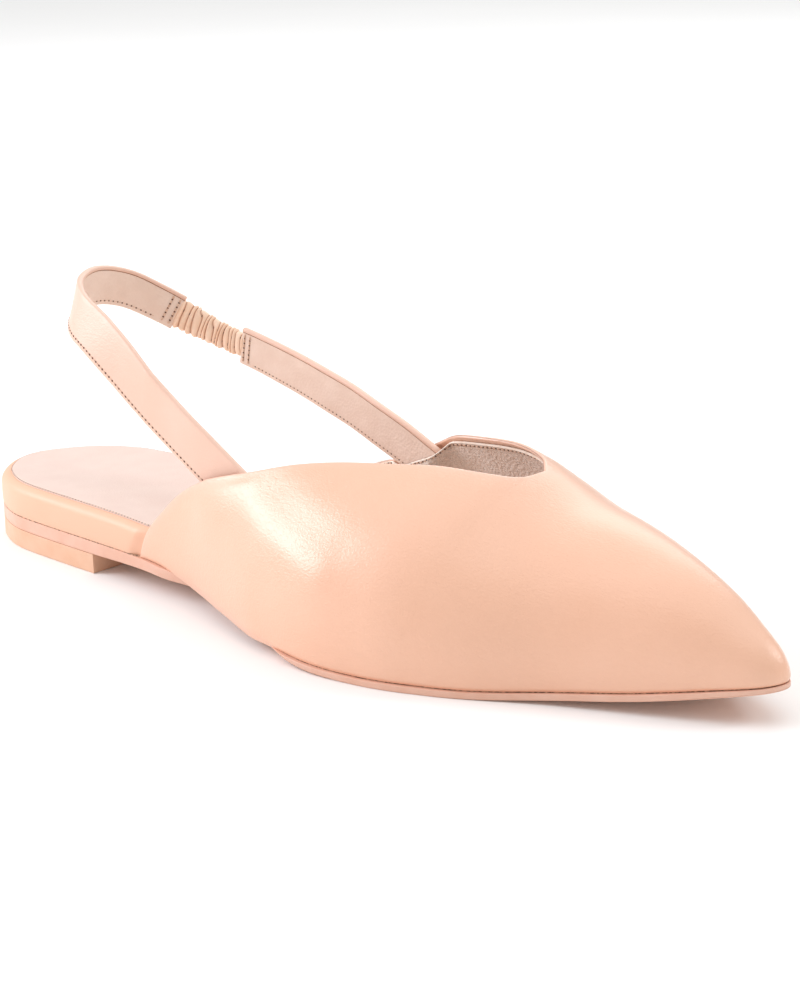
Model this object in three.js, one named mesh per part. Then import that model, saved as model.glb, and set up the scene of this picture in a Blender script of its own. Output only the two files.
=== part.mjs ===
// Right-foot flat shoe with open sides, a V throat and a strap round the heel.
// Shoe coordinates: along runs from the back of the heel to the toe tip, outward is
// positive on the outer (lateral) side, up is the height over the floor.
// In the model the toe points to -Y, the outer side is -X and the floor is Z = 0.
import * as THREE from 'three';

// Driving dimensions, in millimetres
const shoeLength = 262; // heel back to toe tip, along the sole
const soleWidth = 78.6; // unit of the width tables, near the width over the ball
const instepHeight = 51.5; // crown of the upper over the sole, at the instep section
const crownOffset = 6; // how far the crown line leans to the inner side
const heelBlockHeight = 5.4;
const heelBlockLength = 59;
const toeSpring = 8.15;
const soleThickness = 2; // at the toe and ball
const heelSoleThickness = 3.7;
const waistTrim = 4; // how far the sole's lower edge is cut back under the arch
const soleEdge = 0.6; // how far the upper's foot stands in from the sole's edge
const wall = 1.8; // thickness of the upper
const sideBulge = 2.4; // swell of the upper's sides beyond the sole's outline
const bandHeight = 8.4; // side of the footbed at the open heel
const forefootBedHeight = 3.2; // footbed inside the toe
const footbedRound = 2.6; // rounding of the footbed's upper edge
const bedClearance = 0.6; // between footbed and upper
const toeRoom = 3; // extra space between footbed and upper round the toe
const strapRise = 72.6; // height of the strap's middle behind the heel
const strapWidth = 12;
const strapThickness = 2;
const strapLean = 24; // degrees by which the upper edge leans in, where it leans most
const elasticWidth = 8.2;
const elasticThickness = 3;
const clearance = 0.3;

// Outline of the sole: share of the length, half widths as shares of soleWidth
const outlineRows = [
  { along: 0.0, outer: 0.0, inner: 0.0 },
  { along: 0.012, outer: 0.121, inner: 0.128 },
  { along: 0.045, outer: 0.232, inner: 0.261 },
  { along: 0.1, outer: 0.303, inner: 0.341 },
  { along: 0.18, outer: 0.324, inner: 0.361 },
  { along: 0.28, outer: 0.341, inner: 0.338 },
  { along: 0.38, outer: 0.385, inner: 0.307 },
  { along: 0.45, outer: 0.457, inner: 0.312 },
  { along: 0.52, outer: 0.526, inner: 0.345 },
  { along: 0.6, outer: 0.562, inner: 0.4 },
  { along: 0.66, outer: 0.537, inner: 0.432 },
  { along: 0.72, outer: 0.474, inner: 0.436 },
  { along: 0.82, outer: 0.309, inner: 0.335 },
  { along: 0.9, outer: 0.205, inner: 0.208 },
  { along: 0.96, outer: 0.121, inner: 0.112 },
  { along: 0.985, outer: 0.078, inner: 0.068 },
  { along: 1.0, outer: 0.0, inner: 0.0 },
];

// Underside of the sole: height as a share of heelBlockHeight behind the ball, of toeSpring before it
const rearUndersideRows = [
  { along: 0.0, rise: 1.0 },
  { along: 0.225, rise: 1.0 },
  { along: 0.3, rise: 1.037 },
  { along: 0.42, rise: 0.704 },
  { along: 0.6, rise: 0.046 },
  { along: 0.66, rise: 0.0 },
];
const frontUndersideRows = [
  { along: 0.74, rise: 0.0 },
  { along: 0.86, rise: 0.28 },
  { along: 1.0, rise: 1.0 },
];

// How the sole, its trim and the footbed change along the shoe, as shares of their named sizes
const soleRows = [
  { along: 0.0, heelShare: 1.0, trim: 0.0, band: 1.0 },
  { along: 0.2, heelShare: 0.94, trim: 0.0, band: 0.98 },
  { along: 0.34, heelShare: 0.5, trim: 0.1, band: 0.84 },
  { along: 0.48, heelShare: 0.1, trim: 1.0, band: 0.4 },
  { along: 0.6, heelShare: 0.0, trim: 0.15, band: 0.1 },
  { along: 0.7, heelShare: 0.0, trim: 0.0, band: 0.0 },
  { along: 1.0, heelShare: 0.0, trim: 0.0, band: 0.0 },
];

// Crown line of the upper: height as a share of instepHeight, lean as a share of crownOffset
const crownRows = [
  { along: 0.25, height: 1.068, lean: 1.0 },
  { along: 0.4, height: 1.0, lean: 1.0 },
  { along: 0.5, height: 0.955, lean: 1.0 },
  { along: 0.57, height: 0.932, lean: 1.0 },
  { along: 0.65, height: 0.909, lean: 1.0 },
  { along: 0.7, height: 0.85, lean: 1.0 },
  { along: 0.73, height: 0.786, lean: 1.0 },
  { along: 0.775, height: 0.697, lean: 0.9 },
  { along: 0.813, height: 0.645, lean: 0.77 },
  { along: 0.85, height: 0.584, lean: 0.62 },
  { along: 0.882, height: 0.52, lean: 0.47 },
  { along: 0.935, height: 0.371, lean: 0.22 },
  { along: 0.973, height: 0.21, lean: 0.07 },
  { along: 1.0, height: 0.0, lean: 0.0 },
];

// The two sides of the upper. fall draws the shoulder of a section in (or out, below zero).
// A cut row gives where the edge lies: share of the length, and sweep from sole (0) to crown (1).
const throatAlong = 0.721;
const outerSide = {
  sign: 1,
  column: 'outer',
  fall: -0.1,
  rearCut: [
    { along: 0.301, sweep: 0.0 },
    { along: 0.314, sweep: 0.08 },
    { along: 0.345, sweep: 0.19 },
    { along: 0.374, sweep: 0.285 },
    { along: 0.408, sweep: 0.371 },
  ],
  topCut: [
    { along: 0.408, sweep: 0.371 },
    { along: 0.47, sweep: 0.487 },
    { along: 0.525, sweep: 0.605 },
    { along: 0.573, sweep: 0.685 },
    { along: 0.637, sweep: 0.757 },
    { along: 0.7, sweep: 0.842 },
    { along: 0.716, sweep: 0.9 },
    { along: throatAlong, sweep: 1.0 },
  ],
};
const innerSide = {
  sign: -1,
  column: 'inner',
  fall: 0.28,
  rearCut: [
    { along: 0.301, sweep: 0.0 },
    { along: 0.316, sweep: 0.07 },
    { along: 0.355, sweep: 0.15 },
    { along: 0.405, sweep: 0.235 },
    { along: 0.457, sweep: 0.328 },
  ],
  topCut: [
    { along: 0.457, sweep: 0.328 },
    { along: 0.507, sweep: 0.436 },
    { along: 0.542, sweep: 0.545 },
    { along: 0.575, sweep: 0.65 },
    { along: 0.62, sweep: 0.715 },
    { along: 0.67, sweep: 0.79 },
    { along: 0.702, sweep: 0.88 },
    { along: throatAlong, sweep: 1.0 },
  ],
};

// Straps from the outer wing round the heel to the inner wing. Their ends follow the upper: sweep is
// the place on its side, away the extra distance in from its lining as a share of soleWidth, which is
// below zero where the strap stands outside the upper's edge. width is a share of strapWidth.
const outerSeatRows = [
  { along: 0.447, sweep: 0.39, away: 0.0029, width: 1.0 },
  { along: 0.39, sweep: 0.4405, away: -0.0843, width: 1.05 },
];
const innerSeatRows = [
  { along: 0.466, sweep: 0.5215, away: -0.0634, width: 0.95 },
  { along: 0.505, sweep: 0.5035, away: -0.0342, width: 0.95 },
  { along: 0.535, sweep: 0.479, away: -0.0063, width: 0.94 },
  { along: 0.562, sweep: 0.4505, away: 0.0202, width: 0.92 },
];

// Free loop between them: outward as a share of soleWidth, up as a share of the way from the side's
// seat to strapRise, lean of the upper edge towards the leg as a share of strapLean
const outerLoopRows = [
  { along: 0.351, outward: 0.31, up: 0.186, width: 1.05, lean: 0.0 },
  { along: 0.312, outward: 0.307, up: 0.384, width: 1.04, lean: 0.1 },
  { along: 0.276, outward: 0.298, up: 0.577, width: 1.02, lean: 0.5 },
  { along: 0.239, outward: 0.284, up: 0.747, width: 0.99, lean: 0.9 },
  { along: 0.2, outward: 0.252, up: 0.876, width: 0.97, lean: 0.85 },
  { along: 0.172, outward: 0.173, up: 0.957, width: 0.94, lean: 0.55 },
  { along: 0.158, outward: 0.056, up: 0.993, width: 0.9, lean: 0.35 },
];
const innerLoopRows = [
  { along: 0.159, outward: -0.073, up: 0.915, width: 0.87, lean: 0.2 },
  { along: 0.173, outward: -0.176, up: 0.759, width: 0.84, lean: 0.0 },
  { along: 0.2, outward: -0.262, up: 0.575, width: 0.83, lean: -0.1 },
  { along: 0.238, outward: -0.302, up: 0.442, width: 0.84, lean: -0.1 },
  { along: 0.279, outward: -0.303, up: 0.372, width: 0.87, lean: 0.0 },
  { along: 0.316, outward: -0.294, up: 0.313, width: 0.9, lean: 0.0 },
  { along: 0.354, outward: -0.282, up: 0.249, width: 0.92, lean: 0.0 },
  { along: 0.39, outward: -0.268, up: 0.181, width: 0.94, lean: 0.0 },
  { along: 0.428, outward: -0.257, up: 0.099, width: 0.95, lean: 0.0 },
];
const elasticStart = 0.538; // shares of the middle line's length
const elasticEnd = 0.633;

// Fineness of the faceted forms
const outlineSteps = 34;
const upperRearSteps = 22;
const upperToeSteps = 14;
const upperSweepSteps = 11;
const strapStep = 4;

// Value of a smooth line through a table's rows that never overshoots them.
// With a swing the rows are spread like angles on a half circle, which rounds both ends.
function lineThrough(rows, column, swing = (share) => share) {
  const x = rows.map((row) => swing(row.along));
  const y = rows.map((row) => row[column]);
  const last = x.length - 1;
  const width = x.slice(1).map((value, i) => value - x[i]);
  const rise = width.map((value, i) => (y[i + 1] - y[i]) / value);
  const slope = y.map((value, i) => {
    if (i === 0) return rise[0];
    if (i === last) return rise[last - 1];
    if (rise[i - 1] * rise[i] <= 0) return 0;
    const before = 2 * width[i] + width[i - 1];
    const after = width[i] + 2 * width[i - 1];
    return (before + after) / (before / rise[i - 1] + after / rise[i]);
  });
  return (share) => {
    const at = swing(share);
    let i = 0;
    while (i < last - 1 && at > x[i + 1]) i += 1;
    const t = (at - x[i]) / width[i];
    const start = y[i] * (1 + 2 * t) * (1 - t) ** 2 + width[i] * slope[i] * t * (1 - t) ** 2;
    const end = y[i + 1] * t * t * (3 - 2 * t) + width[i] * slope[i + 1] * t * t * (t - 1);
    return start + end;
  };
}

const halfCircle = (share) => Math.acos(THREE.MathUtils.clamp(1 - 2 * share, -1, 1)) / Math.PI;
const outline = {
  outer: lineThrough(outlineRows, 'outer', halfCircle),
  inner: lineThrough(outlineRows, 'inner', halfCircle),
};
const crownHeight = lineThrough(crownRows, 'height', halfCircle);
const crownLean = lineThrough(crownRows, 'lean', halfCircle);
const undersideRows = [
  ...rearUndersideRows.map((row) => ({ along: row.along, up: row.rise * heelBlockHeight })),
  ...frontUndersideRows.map((row) => ({ along: row.along, up: row.rise * toeSpring })),
];
const underside = lineThrough(undersideRows, 'up');
const heelShare = lineThrough(soleRows, 'heelShare');
const trimShare = lineThrough(soleRows, 'trim');
const bandShare = lineThrough(soleRows, 'band');

const soleTop = (share) =>
  underside(share) + soleThickness + (heelSoleThickness - soleThickness) * heelShare(share);
const bedHeight = (share) => forefootBedHeight + (bandHeight - forefootBedHeight) * bandShare(share);

// Shoe coordinates to the model's own axes
const place = (along, outward, up) => new THREE.Vector3(-outward, -along, up);

// Collects points and triangles, joins equal points and leaves out flat triangles
class Skin {
  constructor() {
    this.points = [];
    this.triangles = [];
    this.known = new Map();
  }

  point(position) {
    const key = [position.x, position.y, position.z].map((value) => Math.round(value * 1e4)).join();
    if (!this.known.has(key)) {
      this.known.set(key, this.points.length);
      this.points.push(position);
    }
    return this.known.get(key);
  }

  triangle(a, b, c) {
    const corners = [a, b, c].map((position) => this.point(position));
    if (new Set(corners).size === 3) this.triangles.push(corners);
  }

  quad(a, b, c, d) {
    this.triangle(a, b, c);
    this.triangle(a, c, d);
  }

  // Joins two rows of points that run side by side
  strip(first, second, closed = false) {
    const steps = closed ? first.length : first.length - 1;
    for (let i = 0; i < steps; i += 1) {
      const next = (i + 1) % first.length;
      this.quad(first[i], first[next], second[next], second[i]);
    }
  }

  mesh(name, material) {
    const [a, b, c] = [0, 1, 2];
    const volume = this.triangles.reduce((sum, corners) => {
      const p = corners.map((index) => this.points[index]);
      return sum + p[a].dot(new THREE.Vector3().crossVectors(p[b], p[c]));
    }, 0);
    const outwardFacing = volume > 0 ? this.triangles : this.triangles.map((t) => [t[a], t[c], t[b]]);
    const geometry = new THREE.BufferGeometry().setFromPoints(this.points);
    geometry.setIndex(outwardFacing.flat());
    geometry.computeVertexNormals();
    const mesh = new THREE.Mesh(geometry, material);
    mesh.name = name;
    return mesh;
  }
}

// Closed outline through the given shares of the length, from the heel round the outer side and back
function outlineThrough(shares, closedAtFront) {
  const outer = shares.map((share) => ({ along: share * shoeLength, outward: soleWidth * outline.outer(share) }));
  const inner = shares.map((share) => ({ along: share * shoeLength, outward: -soleWidth * outline.inner(share) }));
  return [...outer, ...inner.slice(1, closedAtFront ? -1 : undefined).reverse()];
}

// Shares of the length up to an end, close together where the outline turns round the heel and toe
function roundShares(end, steps) {
  const reach = halfCircle(end);
  return Array.from({ length: steps + 1 }, (_, i) => (1 - Math.cos((Math.PI * reach * i) / steps)) / 2);
}

// Moves each point of an outline inwards, square to the line there
function insetOutline(points, distance) {
  return points.map((point, i) => {
    const before = points[(i + points.length - 1) % points.length];
    const after = points[(i + 1) % points.length];
    const along = after.along - before.along;
    const outward = after.outward - before.outward;
    const size = Math.hypot(along, outward);
    const depth = distance(point.along / shoeLength);
    return {
      along: point.along + (-outward / size) * -depth,
      outward: point.outward + (along / size) * -depth,
    };
  });
}

// Solid built of rings round an outline, closed below and above by strips from side to side
function ringSolid(name, material, points, rings) {
  const skin = new Skin();
  const loops = rings.map((ring) =>
    insetOutline(points, ring.inset).map((point) =>
      place(point.along, point.outward, ring.up(THREE.MathUtils.clamp(point.along / shoeLength, 0, 1)))));
  for (let i = 0; i + 1 < loops.length; i += 1) skin.strip(loops[i], loops[i + 1], true);
  const count = points.length;
  const half = Math.floor(count / 2);
  const partner = (i) => (count - i) % count;
  const cover = (loop, turned) => {
    for (let i = 0; i < half; i += 1) {
      const corners = [loop[i], loop[i + 1], loop[partner(i + 1)], loop[partner(i)]];
      if (turned) corners.reverse();
      skin.quad(...corners);
    }
  };
  cover(loops[0], true);
  cover(loops[loops.length - 1], false);
  return skin.mesh(name, material);
}

// Point of the upper's outer face: sweep runs from the sole (0) to the crown (1)
function upperPoint(side, share, sweep) {
  const angle = (sweep * Math.PI) / 2;
  const halfWidth = soleWidth * outline[side.column](share) - soleEdge * Math.min(1, (1 - share) * 20);
  const spread = halfWidth * Math.cos(angle) * (1 - side.fall * Math.sin(angle) ** 2);
  const bulge = sideBulge * Math.min(1, halfWidth / 30) * Math.sin(2 * angle);
  const lean = -crownOffset * crownLean(share) * Math.sin(angle) ** 2;
  const up = soleTop(share) + clearance + instepHeight * crownHeight(share) * Math.sin(angle);
  return place(share * shoeLength, side.sign * (spread + bulge) + lean, up);
}

// Grid of one side of the upper: a row for each step along, a column for each sweep.
// The first rows end at the side's top edge, the rows past the throat at the crown.
function upperSide(side) {
  const rearAlong = lineThrough(side.rearCut.map((row) => ({ along: row.sweep, at: row.along })), 'at');
  const topSweep = lineThrough(side.topCut, 'sweep');
  const cornerAlong = side.topCut[0].along;
  const cornerSweep = side.topCut[0].sweep;
  const rows = [];
  for (let i = 0; i <= upperRearSteps + upperToeSteps; i += 1) {
    const rear = i <= upperRearSteps;
    const advance = rear ? 1 - (1 - i / upperRearSteps) ** 1.6 : 0;
    const ahead = Math.sin(((i - upperRearSteps) / upperToeSteps) * (Math.PI / 2));
    const sweepEnd = rear ? topSweep(cornerAlong + advance * (throatAlong - cornerAlong)) : 1;
    rows.push(Array.from({ length: upperSweepSteps + 1 }, (_, j) => {
      const part = j / upperSweepSteps;
      const start = rearAlong(part * cornerSweep);
      const share = rear
        ? start + advance * (throatAlong - start)
        : throatAlong + ahead * (1 - throatAlong);
      return upperPoint(side, share, part * sweepEnd);
    }));
  }
  return rows;
}

// Hollow upper: the outer face, the same face moved in by the wall, and the rims between them
function makeUpper(material) {
  const outer = upperSide(outerSide);
  const inner = upperSide(innerSide);
  const rows = outer.map((row, i) => ({ outer: row, inner: inner[i], joined: i >= upperRearSteps }));
  const face = new Skin();
  for (let i = 0; i + 1 < rows.length; i += 1) {
    face.strip(rows[i].outer, rows[i + 1].outer);
    face.strip(rows[i + 1].inner, rows[i].inner);
  }
  const normals = face.points.map(() => new THREE.Vector3());
  for (const corners of face.triangles) {
    const [a, b, c] = corners.map((index) => face.points[index]);
    const normal = new THREE.Vector3().crossVectors(b.clone().sub(a), c.clone().sub(a));
    for (const index of corners) normals[index].add(normal);
  }
  const toeRow = rows[rows.length - 1].outer[0];
  const turned = normals[face.point(toeRow)].y > 0 ? 1 : -1;
  const lined = (position, grounded) => {
    const moved = normals[face.point(position)].clone().normalize().multiplyScalar(turned * wall);
    if (grounded) moved.setZ(0).setLength(wall);
    return position.clone().add(moved);
  };
  const skin = new Skin();
  const lining = (row) => row.map((position, j) => lined(position, j === 0));
  const liningRows = rows.map((row) => ({ outer: lining(row.outer), inner: lining(row.inner) }));
  for (let i = 0; i + 1 < rows.length; i += 1) {
    for (const side of ['outer', 'inner']) {
      const [here, next] = side === 'outer' ? [i, i + 1] : [i + 1, i];
      skin.strip(rows[here][side], rows[next][side]);
      skin.strip(liningRows[next][side], liningRows[here][side]);
      const underFoot = [liningRows[here][side][0], liningRows[next][side][0]];
      skin.strip([rows[here][side][0], rows[next][side][0]], underFoot);
      if (!rows[i].joined) {
        const end = upperSweepSteps;
        const rim = [liningRows[here][side][end], liningRows[next][side][end]];
        skin.strip(rim, [rows[here][side][end], rows[next][side][end]]);
      }
    }
  }
  skin.strip(liningRows[0].outer, rows[0].outer);
  skin.strip(rows[0].inner, liningRows[0].inner);
  return skin.mesh('upper', material);
}

// Middle of a band that stands on edge inside the upper, where its nearest corner clears the lining
function seatPoint(side, row) {
  const step = 0.001;
  const above = upperPoint(side, row.along, row.sweep + step);
  const climb = above.sub(upperPoint(side, row.along, row.sweep - step)).normalize();
  const inward = new THREE.Vector3(side.sign * climb.z, 0, -side.sign * climb.x);
  const corner = (strapThickness * Math.abs(inward.x) + row.width * strapWidth * Math.abs(inward.z)) / 2;
  const depth = wall + clearance + corner + row.away * soleWidth;
  return upperPoint(side, row.along, row.sweep).addScaledVector(inward, depth);
}

// Rows of a side's loop as points, up from the height of the seat that they start at
const loopPoints = (rows, seat) => rows.map((row) =>
  place(row.along * shoeLength, row.outward * soleWidth, THREE.MathUtils.lerp(seat.z, strapRise, row.up)));

// Middle line of the straps as a smooth curve, with any column of their rows at any place on it
const outerSeats = outerSeatRows.map((row) => seatPoint(outerSide, row));
const innerSeats = innerSeatRows.map((row) => seatPoint(innerSide, row));
const strapRows = [...outerSeatRows, ...outerLoopRows, ...innerLoopRows, ...innerSeatRows];
const strapLine = new THREE.CatmullRomCurve3([
  ...outerSeats,
  ...loopPoints(outerLoopRows, outerSeats[1]),
  ...loopPoints(innerLoopRows, innerSeats[0]),
  ...innerSeats,
]);
strapLine.arcLengthDivisions = 600;
function strapValue(column, part) {
  const at = strapLine.getUtoTmapping(part) * (strapRows.length - 1);
  const i = Math.min(Math.floor(at), strapRows.length - 2);
  const [before, after] = [strapRows[i], strapRows[i + 1]].map((row) => row[column] ?? 0);
  return THREE.MathUtils.lerp(before, after, at - i);
}
const strapWidthAt = (part) => strapWidth * strapValue('width', part);

// Flat band with rounded edges along a stretch of the strap line, standing on edge
function bandSolid(name, material, from, to, widthAt, thickness) {
  const steps = Math.max(4, Math.ceil(((to - from) * strapLine.getLength()) / strapStep));
  const corner = thickness / 3;
  const skin = new Skin();
  const sections = Array.from({ length: steps + 1 }, (_, i) => {
    const part = from + ((to - from) * i) / steps;
    const middle = strapLine.getPointAt(part);
    const run = strapLine.getTangentAt(part);
    const lean = THREE.MathUtils.degToRad(strapLean * strapValue('lean', part));
    const rise = new THREE.Vector3(0, 0, 1).addScaledVector(run, -run.z).normalize().applyAxisAngle(run, lean);
    const side = new THREE.Vector3().crossVectors(run, rise).normalize();
    const high = widthAt(part) / 2;
    const deep = thickness / 2;
    const shape = [
      [deep, high - corner], [deep - corner, high], [corner - deep, high], [-deep, high - corner],
      [-deep, corner - high], [corner - deep, -high], [deep - corner, -high], [deep, corner - high],
    ];
    return shape.map(([across, up]) => middle.clone().addScaledVector(side, across).addScaledVector(rise, up));
  });
  for (let i = 0; i < steps; i += 1) skin.strip(sections[i], sections[i + 1], true);
  for (const [loop, turned] of [[sections[0], false], [sections[steps], true]]) {
    for (let i = 0; i < 3; i += 1) {
      const corners = [loop[(7 + 8 - i) % 8], loop[(7 + 7 - i) % 8], loop[i + 1], loop[i]];
      if (turned) corners.reverse();
      skin.quad(...corners);
    }
  }
  return skin.mesh(name, material);
}

const leather = (color, roughness) => new THREE.MeshStandardMaterial({ color, roughness, metalness: 0 });
const none = () => 0;

function makeHeelBlock() {
  const points = outlineThrough(roundShares(heelBlockLength / shoeLength, outlineSteps / 2), false);
  return ringSolid('heel_block', leather('#e6c3a0', 0.6), points, [
    { inset: none, up: () => 0 },
    { inset: none, up: (share) => underside(share) - clearance },
  ]);
}

function makeOutsole() {
  const middle = (share) => (underside(share) + soleTop(share)) / 2;
  const points = outlineThrough(roundShares(1, outlineSteps), true);
  return ringSolid('outsole', leather('#d9b197', 0.55), points, [
    { inset: (share) => waistTrim * trimShare(share), up: underside },
    { inset: (share) => 0.4 * waistTrim * trimShare(share), up: middle },
    { inset: none, up: soleTop },
  ]);
}

// The footbed fills the whole outline at the open heel and the inside of the upper further on
function makeFootbed() {
  const stepEnd = outerSide.rearCut[0].along - 0.004;
  const stepStart = stepEnd - 0.01;
  const insideUpper = (share) => THREE.MathUtils.smoothstep(share, stepStart, stepEnd);
  const shares = [...roundShares(1, outlineSteps), stepStart, stepEnd].sort((a, b) => a - b);
  const toeShare = (share) => THREE.MathUtils.smoothstep(share, 0.8, 1);
  const room = (share) => insideUpper(share) * (wall + soleEdge + bedClearance) + toeRoom * toeShare(share);
  const foot = (share) => soleTop(share) + clearance;
  const round = (share) => Math.min(footbedRound, bedHeight(share) * 0.45);
  const edge = [0, 30, 60, 90].map((degrees) => {
    const angle = THREE.MathUtils.degToRad(degrees);
    return {
      inset: (share) => room(share) + round(share) * (1 - Math.cos(angle)),
      up: (share) => foot(share) + bedHeight(share) - round(share) * (1 - Math.sin(angle)),
    };
  });
  const points = outlineThrough(shares, true);
  return ringSolid('footbed', leather('#f0d6c4', 0.5), points, [{ inset: room, up: foot }, ...edge]);
}

function makeStraps() {
  const gap = clearance / strapLine.getLength();
  return [
    bandSolid('strap_lateral', leather('#f1c6aa', 0.4), 0, elasticStart, strapWidthAt, strapThickness),
    bandSolid('elastic', leather('#e8b995', 0.8), elasticStart + gap, elasticEnd - gap,
      () => elasticWidth, elasticThickness),
    bandSolid('strap_medial', leather('#f1c6aa', 0.4), elasticEnd, 1, strapWidthAt, strapThickness),
  ];
}

const shoe = new THREE.Group();
shoe.add(makeHeelBlock(), makeOutsole(), makeFootbed(), makeUpper(leather('#f2c3a4', 0.35)), ...makeStraps());

// The origin lies on the floor under the middle of the shoe's box
const bounds = new THREE.Box3().setFromObject(shoe);
const middle = bounds.getCenter(new THREE.Vector3());
for (const piece of shoe.children) piece.geometry.translate(-middle.x, -middle.y, 0);

export default shoe;
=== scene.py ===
"""Looks of a right-foot flat shoe with open sides and a back strap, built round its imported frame.

Sizes are millimetres in the shoe's own terms: along runs from the back of the heel to the toe tip,
outward is positive on the outer side, up is the height over the floor. Points stay in millimetres
on the model's axes and become metres when a mesh is made.
"""

import logging
import math
from dataclasses import dataclass, replace
from enum import Enum
from typing import Callable, Sequence

import bmesh
import bpy
import numpy as np
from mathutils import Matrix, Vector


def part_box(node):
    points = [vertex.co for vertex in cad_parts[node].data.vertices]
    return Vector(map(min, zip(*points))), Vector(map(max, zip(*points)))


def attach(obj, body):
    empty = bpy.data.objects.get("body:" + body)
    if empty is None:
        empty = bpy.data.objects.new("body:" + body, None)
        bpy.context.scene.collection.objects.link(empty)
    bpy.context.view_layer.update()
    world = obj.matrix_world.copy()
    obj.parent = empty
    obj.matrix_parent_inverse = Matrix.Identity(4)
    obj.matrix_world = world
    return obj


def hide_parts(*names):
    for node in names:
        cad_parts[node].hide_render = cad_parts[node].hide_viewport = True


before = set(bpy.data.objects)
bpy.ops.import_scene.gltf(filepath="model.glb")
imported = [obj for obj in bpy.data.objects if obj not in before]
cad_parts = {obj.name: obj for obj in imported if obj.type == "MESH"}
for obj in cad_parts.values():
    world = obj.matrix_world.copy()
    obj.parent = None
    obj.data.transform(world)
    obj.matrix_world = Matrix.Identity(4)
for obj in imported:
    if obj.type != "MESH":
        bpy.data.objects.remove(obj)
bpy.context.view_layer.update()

LOG = logging.getLogger("flat_shoe")
Array = np.ndarray
Rows = Sequence[Sequence[float]]
ShareLine = Callable[[Array], Array]
Ring = tuple[ShareLine, ShareLine]
Stitches = tuple[Array, Array]
UP = np.array([0.0, 0.0, 1.0])
MM = 0.001
SEED = 7
SHARP_ANGLE = 55.0
JOIN_DISTANCE = 2e-6
BLOCK = 1500

# Outline of the sole: share of the length, half widths outside and inside as shares of the width
OUTLINE_ROWS: Rows = (
    (0.0, 0.0, 0.0), (0.012, 0.121, 0.128), (0.045, 0.232, 0.261), (0.1, 0.303, 0.341),
    (0.18, 0.324, 0.361), (0.28, 0.341, 0.338), (0.38, 0.385, 0.307), (0.45, 0.457, 0.312),
    (0.52, 0.526, 0.345), (0.6, 0.562, 0.4), (0.66, 0.537, 0.432), (0.72, 0.474, 0.436),
    (0.82, 0.309, 0.335), (0.9, 0.205, 0.208), (0.96, 0.121, 0.112), (0.985, 0.078, 0.068),
    (1.0, 0.0, 0.0),
)
# Underside of the sole: share of heel_block_height behind the ball, share of toe_spring before it
REAR_UNDERSIDE_ROWS: Rows = (
    (0.0, 1.0), (0.225, 1.0), (0.3, 1.037), (0.42, 0.704), (0.6, 0.046), (0.66, 0.0),
)
FRONT_UNDERSIDE_ROWS: Rows = ((0.74, 0.0), (0.86, 0.28), (1.0, 1.0))
# Share of the length, heel's share of the sole's thickness, trim of its lower edge, footbed's band
SOLE_ROWS: Rows = (
    (0.0, 1.0, 0.0, 1.0), (0.2, 0.94, 0.0, 0.98), (0.34, 0.5, 0.1, 0.84), (0.48, 0.1, 1.0, 0.4),
    (0.6, 0.0, 0.15, 0.1), (0.7, 0.0, 0.0, 0.0), (1.0, 0.0, 0.0, 0.0),
)
# Crown line of the upper: share of the length, share of instep_height, share of crown_offset
CROWN_ROWS: Rows = (
    (0.25, 1.068, 1.0), (0.4, 1.0, 1.0), (0.5, 0.955, 1.0), (0.57, 0.932, 1.0), (0.65, 0.909, 1.0),
    (0.7, 0.85, 1.0), (0.73, 0.786, 1.0), (0.775, 0.697, 0.9), (0.813, 0.645, 0.77), (0.85, 0.584, 0.62),
    (0.882, 0.52, 0.47), (0.935, 0.371, 0.22), (0.973, 0.21, 0.07), (1.0, 0.0, 0.0),
)
# Share of the length where the throat's V ends on the crown
THROAT = 0.721
# Straps in the upper: share of the length, sweep on its side, way in from its lining, width
OUTER_SEAT_ROWS: Rows = ((0.447, 0.39, 0.0029, 1.0), (0.39, 0.4405, -0.0843, 1.05))
INNER_SEAT_ROWS: Rows = (
    (0.466, 0.5215, -0.0634, 0.95), (0.505, 0.5035, -0.0342, 0.95), (0.535, 0.479, -0.0063, 0.94),
    (0.562, 0.4505, 0.0202, 0.92),
)
# Free loop: share of the length, outward, share of the rise, width, lean
OUTER_LOOP_ROWS: Rows = (
    (0.351, 0.31, 0.186, 1.05, 0.0), (0.312, 0.307, 0.384, 1.04, 0.1), (0.276, 0.298, 0.577, 1.02, 0.5),
    (0.239, 0.284, 0.747, 0.99, 0.9), (0.2, 0.252, 0.876, 0.97, 0.85), (0.172, 0.173, 0.957, 0.94, 0.55),
    (0.158, 0.056, 0.993, 0.9, 0.35),
)
INNER_LOOP_ROWS: Rows = (
    (0.159, -0.073, 0.915, 0.87, 0.2), (0.173, -0.176, 0.759, 0.84, 0.0), (0.2, -0.262, 0.575, 0.83, -0.1),
    (0.238, -0.302, 0.442, 0.84, -0.1), (0.279, -0.303, 0.372, 0.87, 0.0), (0.316, -0.294, 0.313, 0.9, 0.0),
    (0.354, -0.282, 0.249, 0.92, 0.0), (0.39, -0.268, 0.181, 0.94, 0.0), (0.428, -0.257, 0.099, 0.95, 0.0),
)


class Side(Enum):
    """A side of the shoe, with the sign that outward has there."""

    OUTER = 1
    INNER = -1


class Swing(Enum):
    """How a table's shares are spread before the smooth line is drawn through them."""

    PLAIN = "plain"
    HALF_CIRCLE = "half circle"

    def spread(self, share: Array) -> Array:
        """Gives the share itself, or the angle on a half circle whose height it is, over pi."""
        if self is Swing.PLAIN:
            return np.asarray(share, float)
        return np.arccos(np.clip(1 - 2 * np.asarray(share, float), -1, 1)) / math.pi


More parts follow.
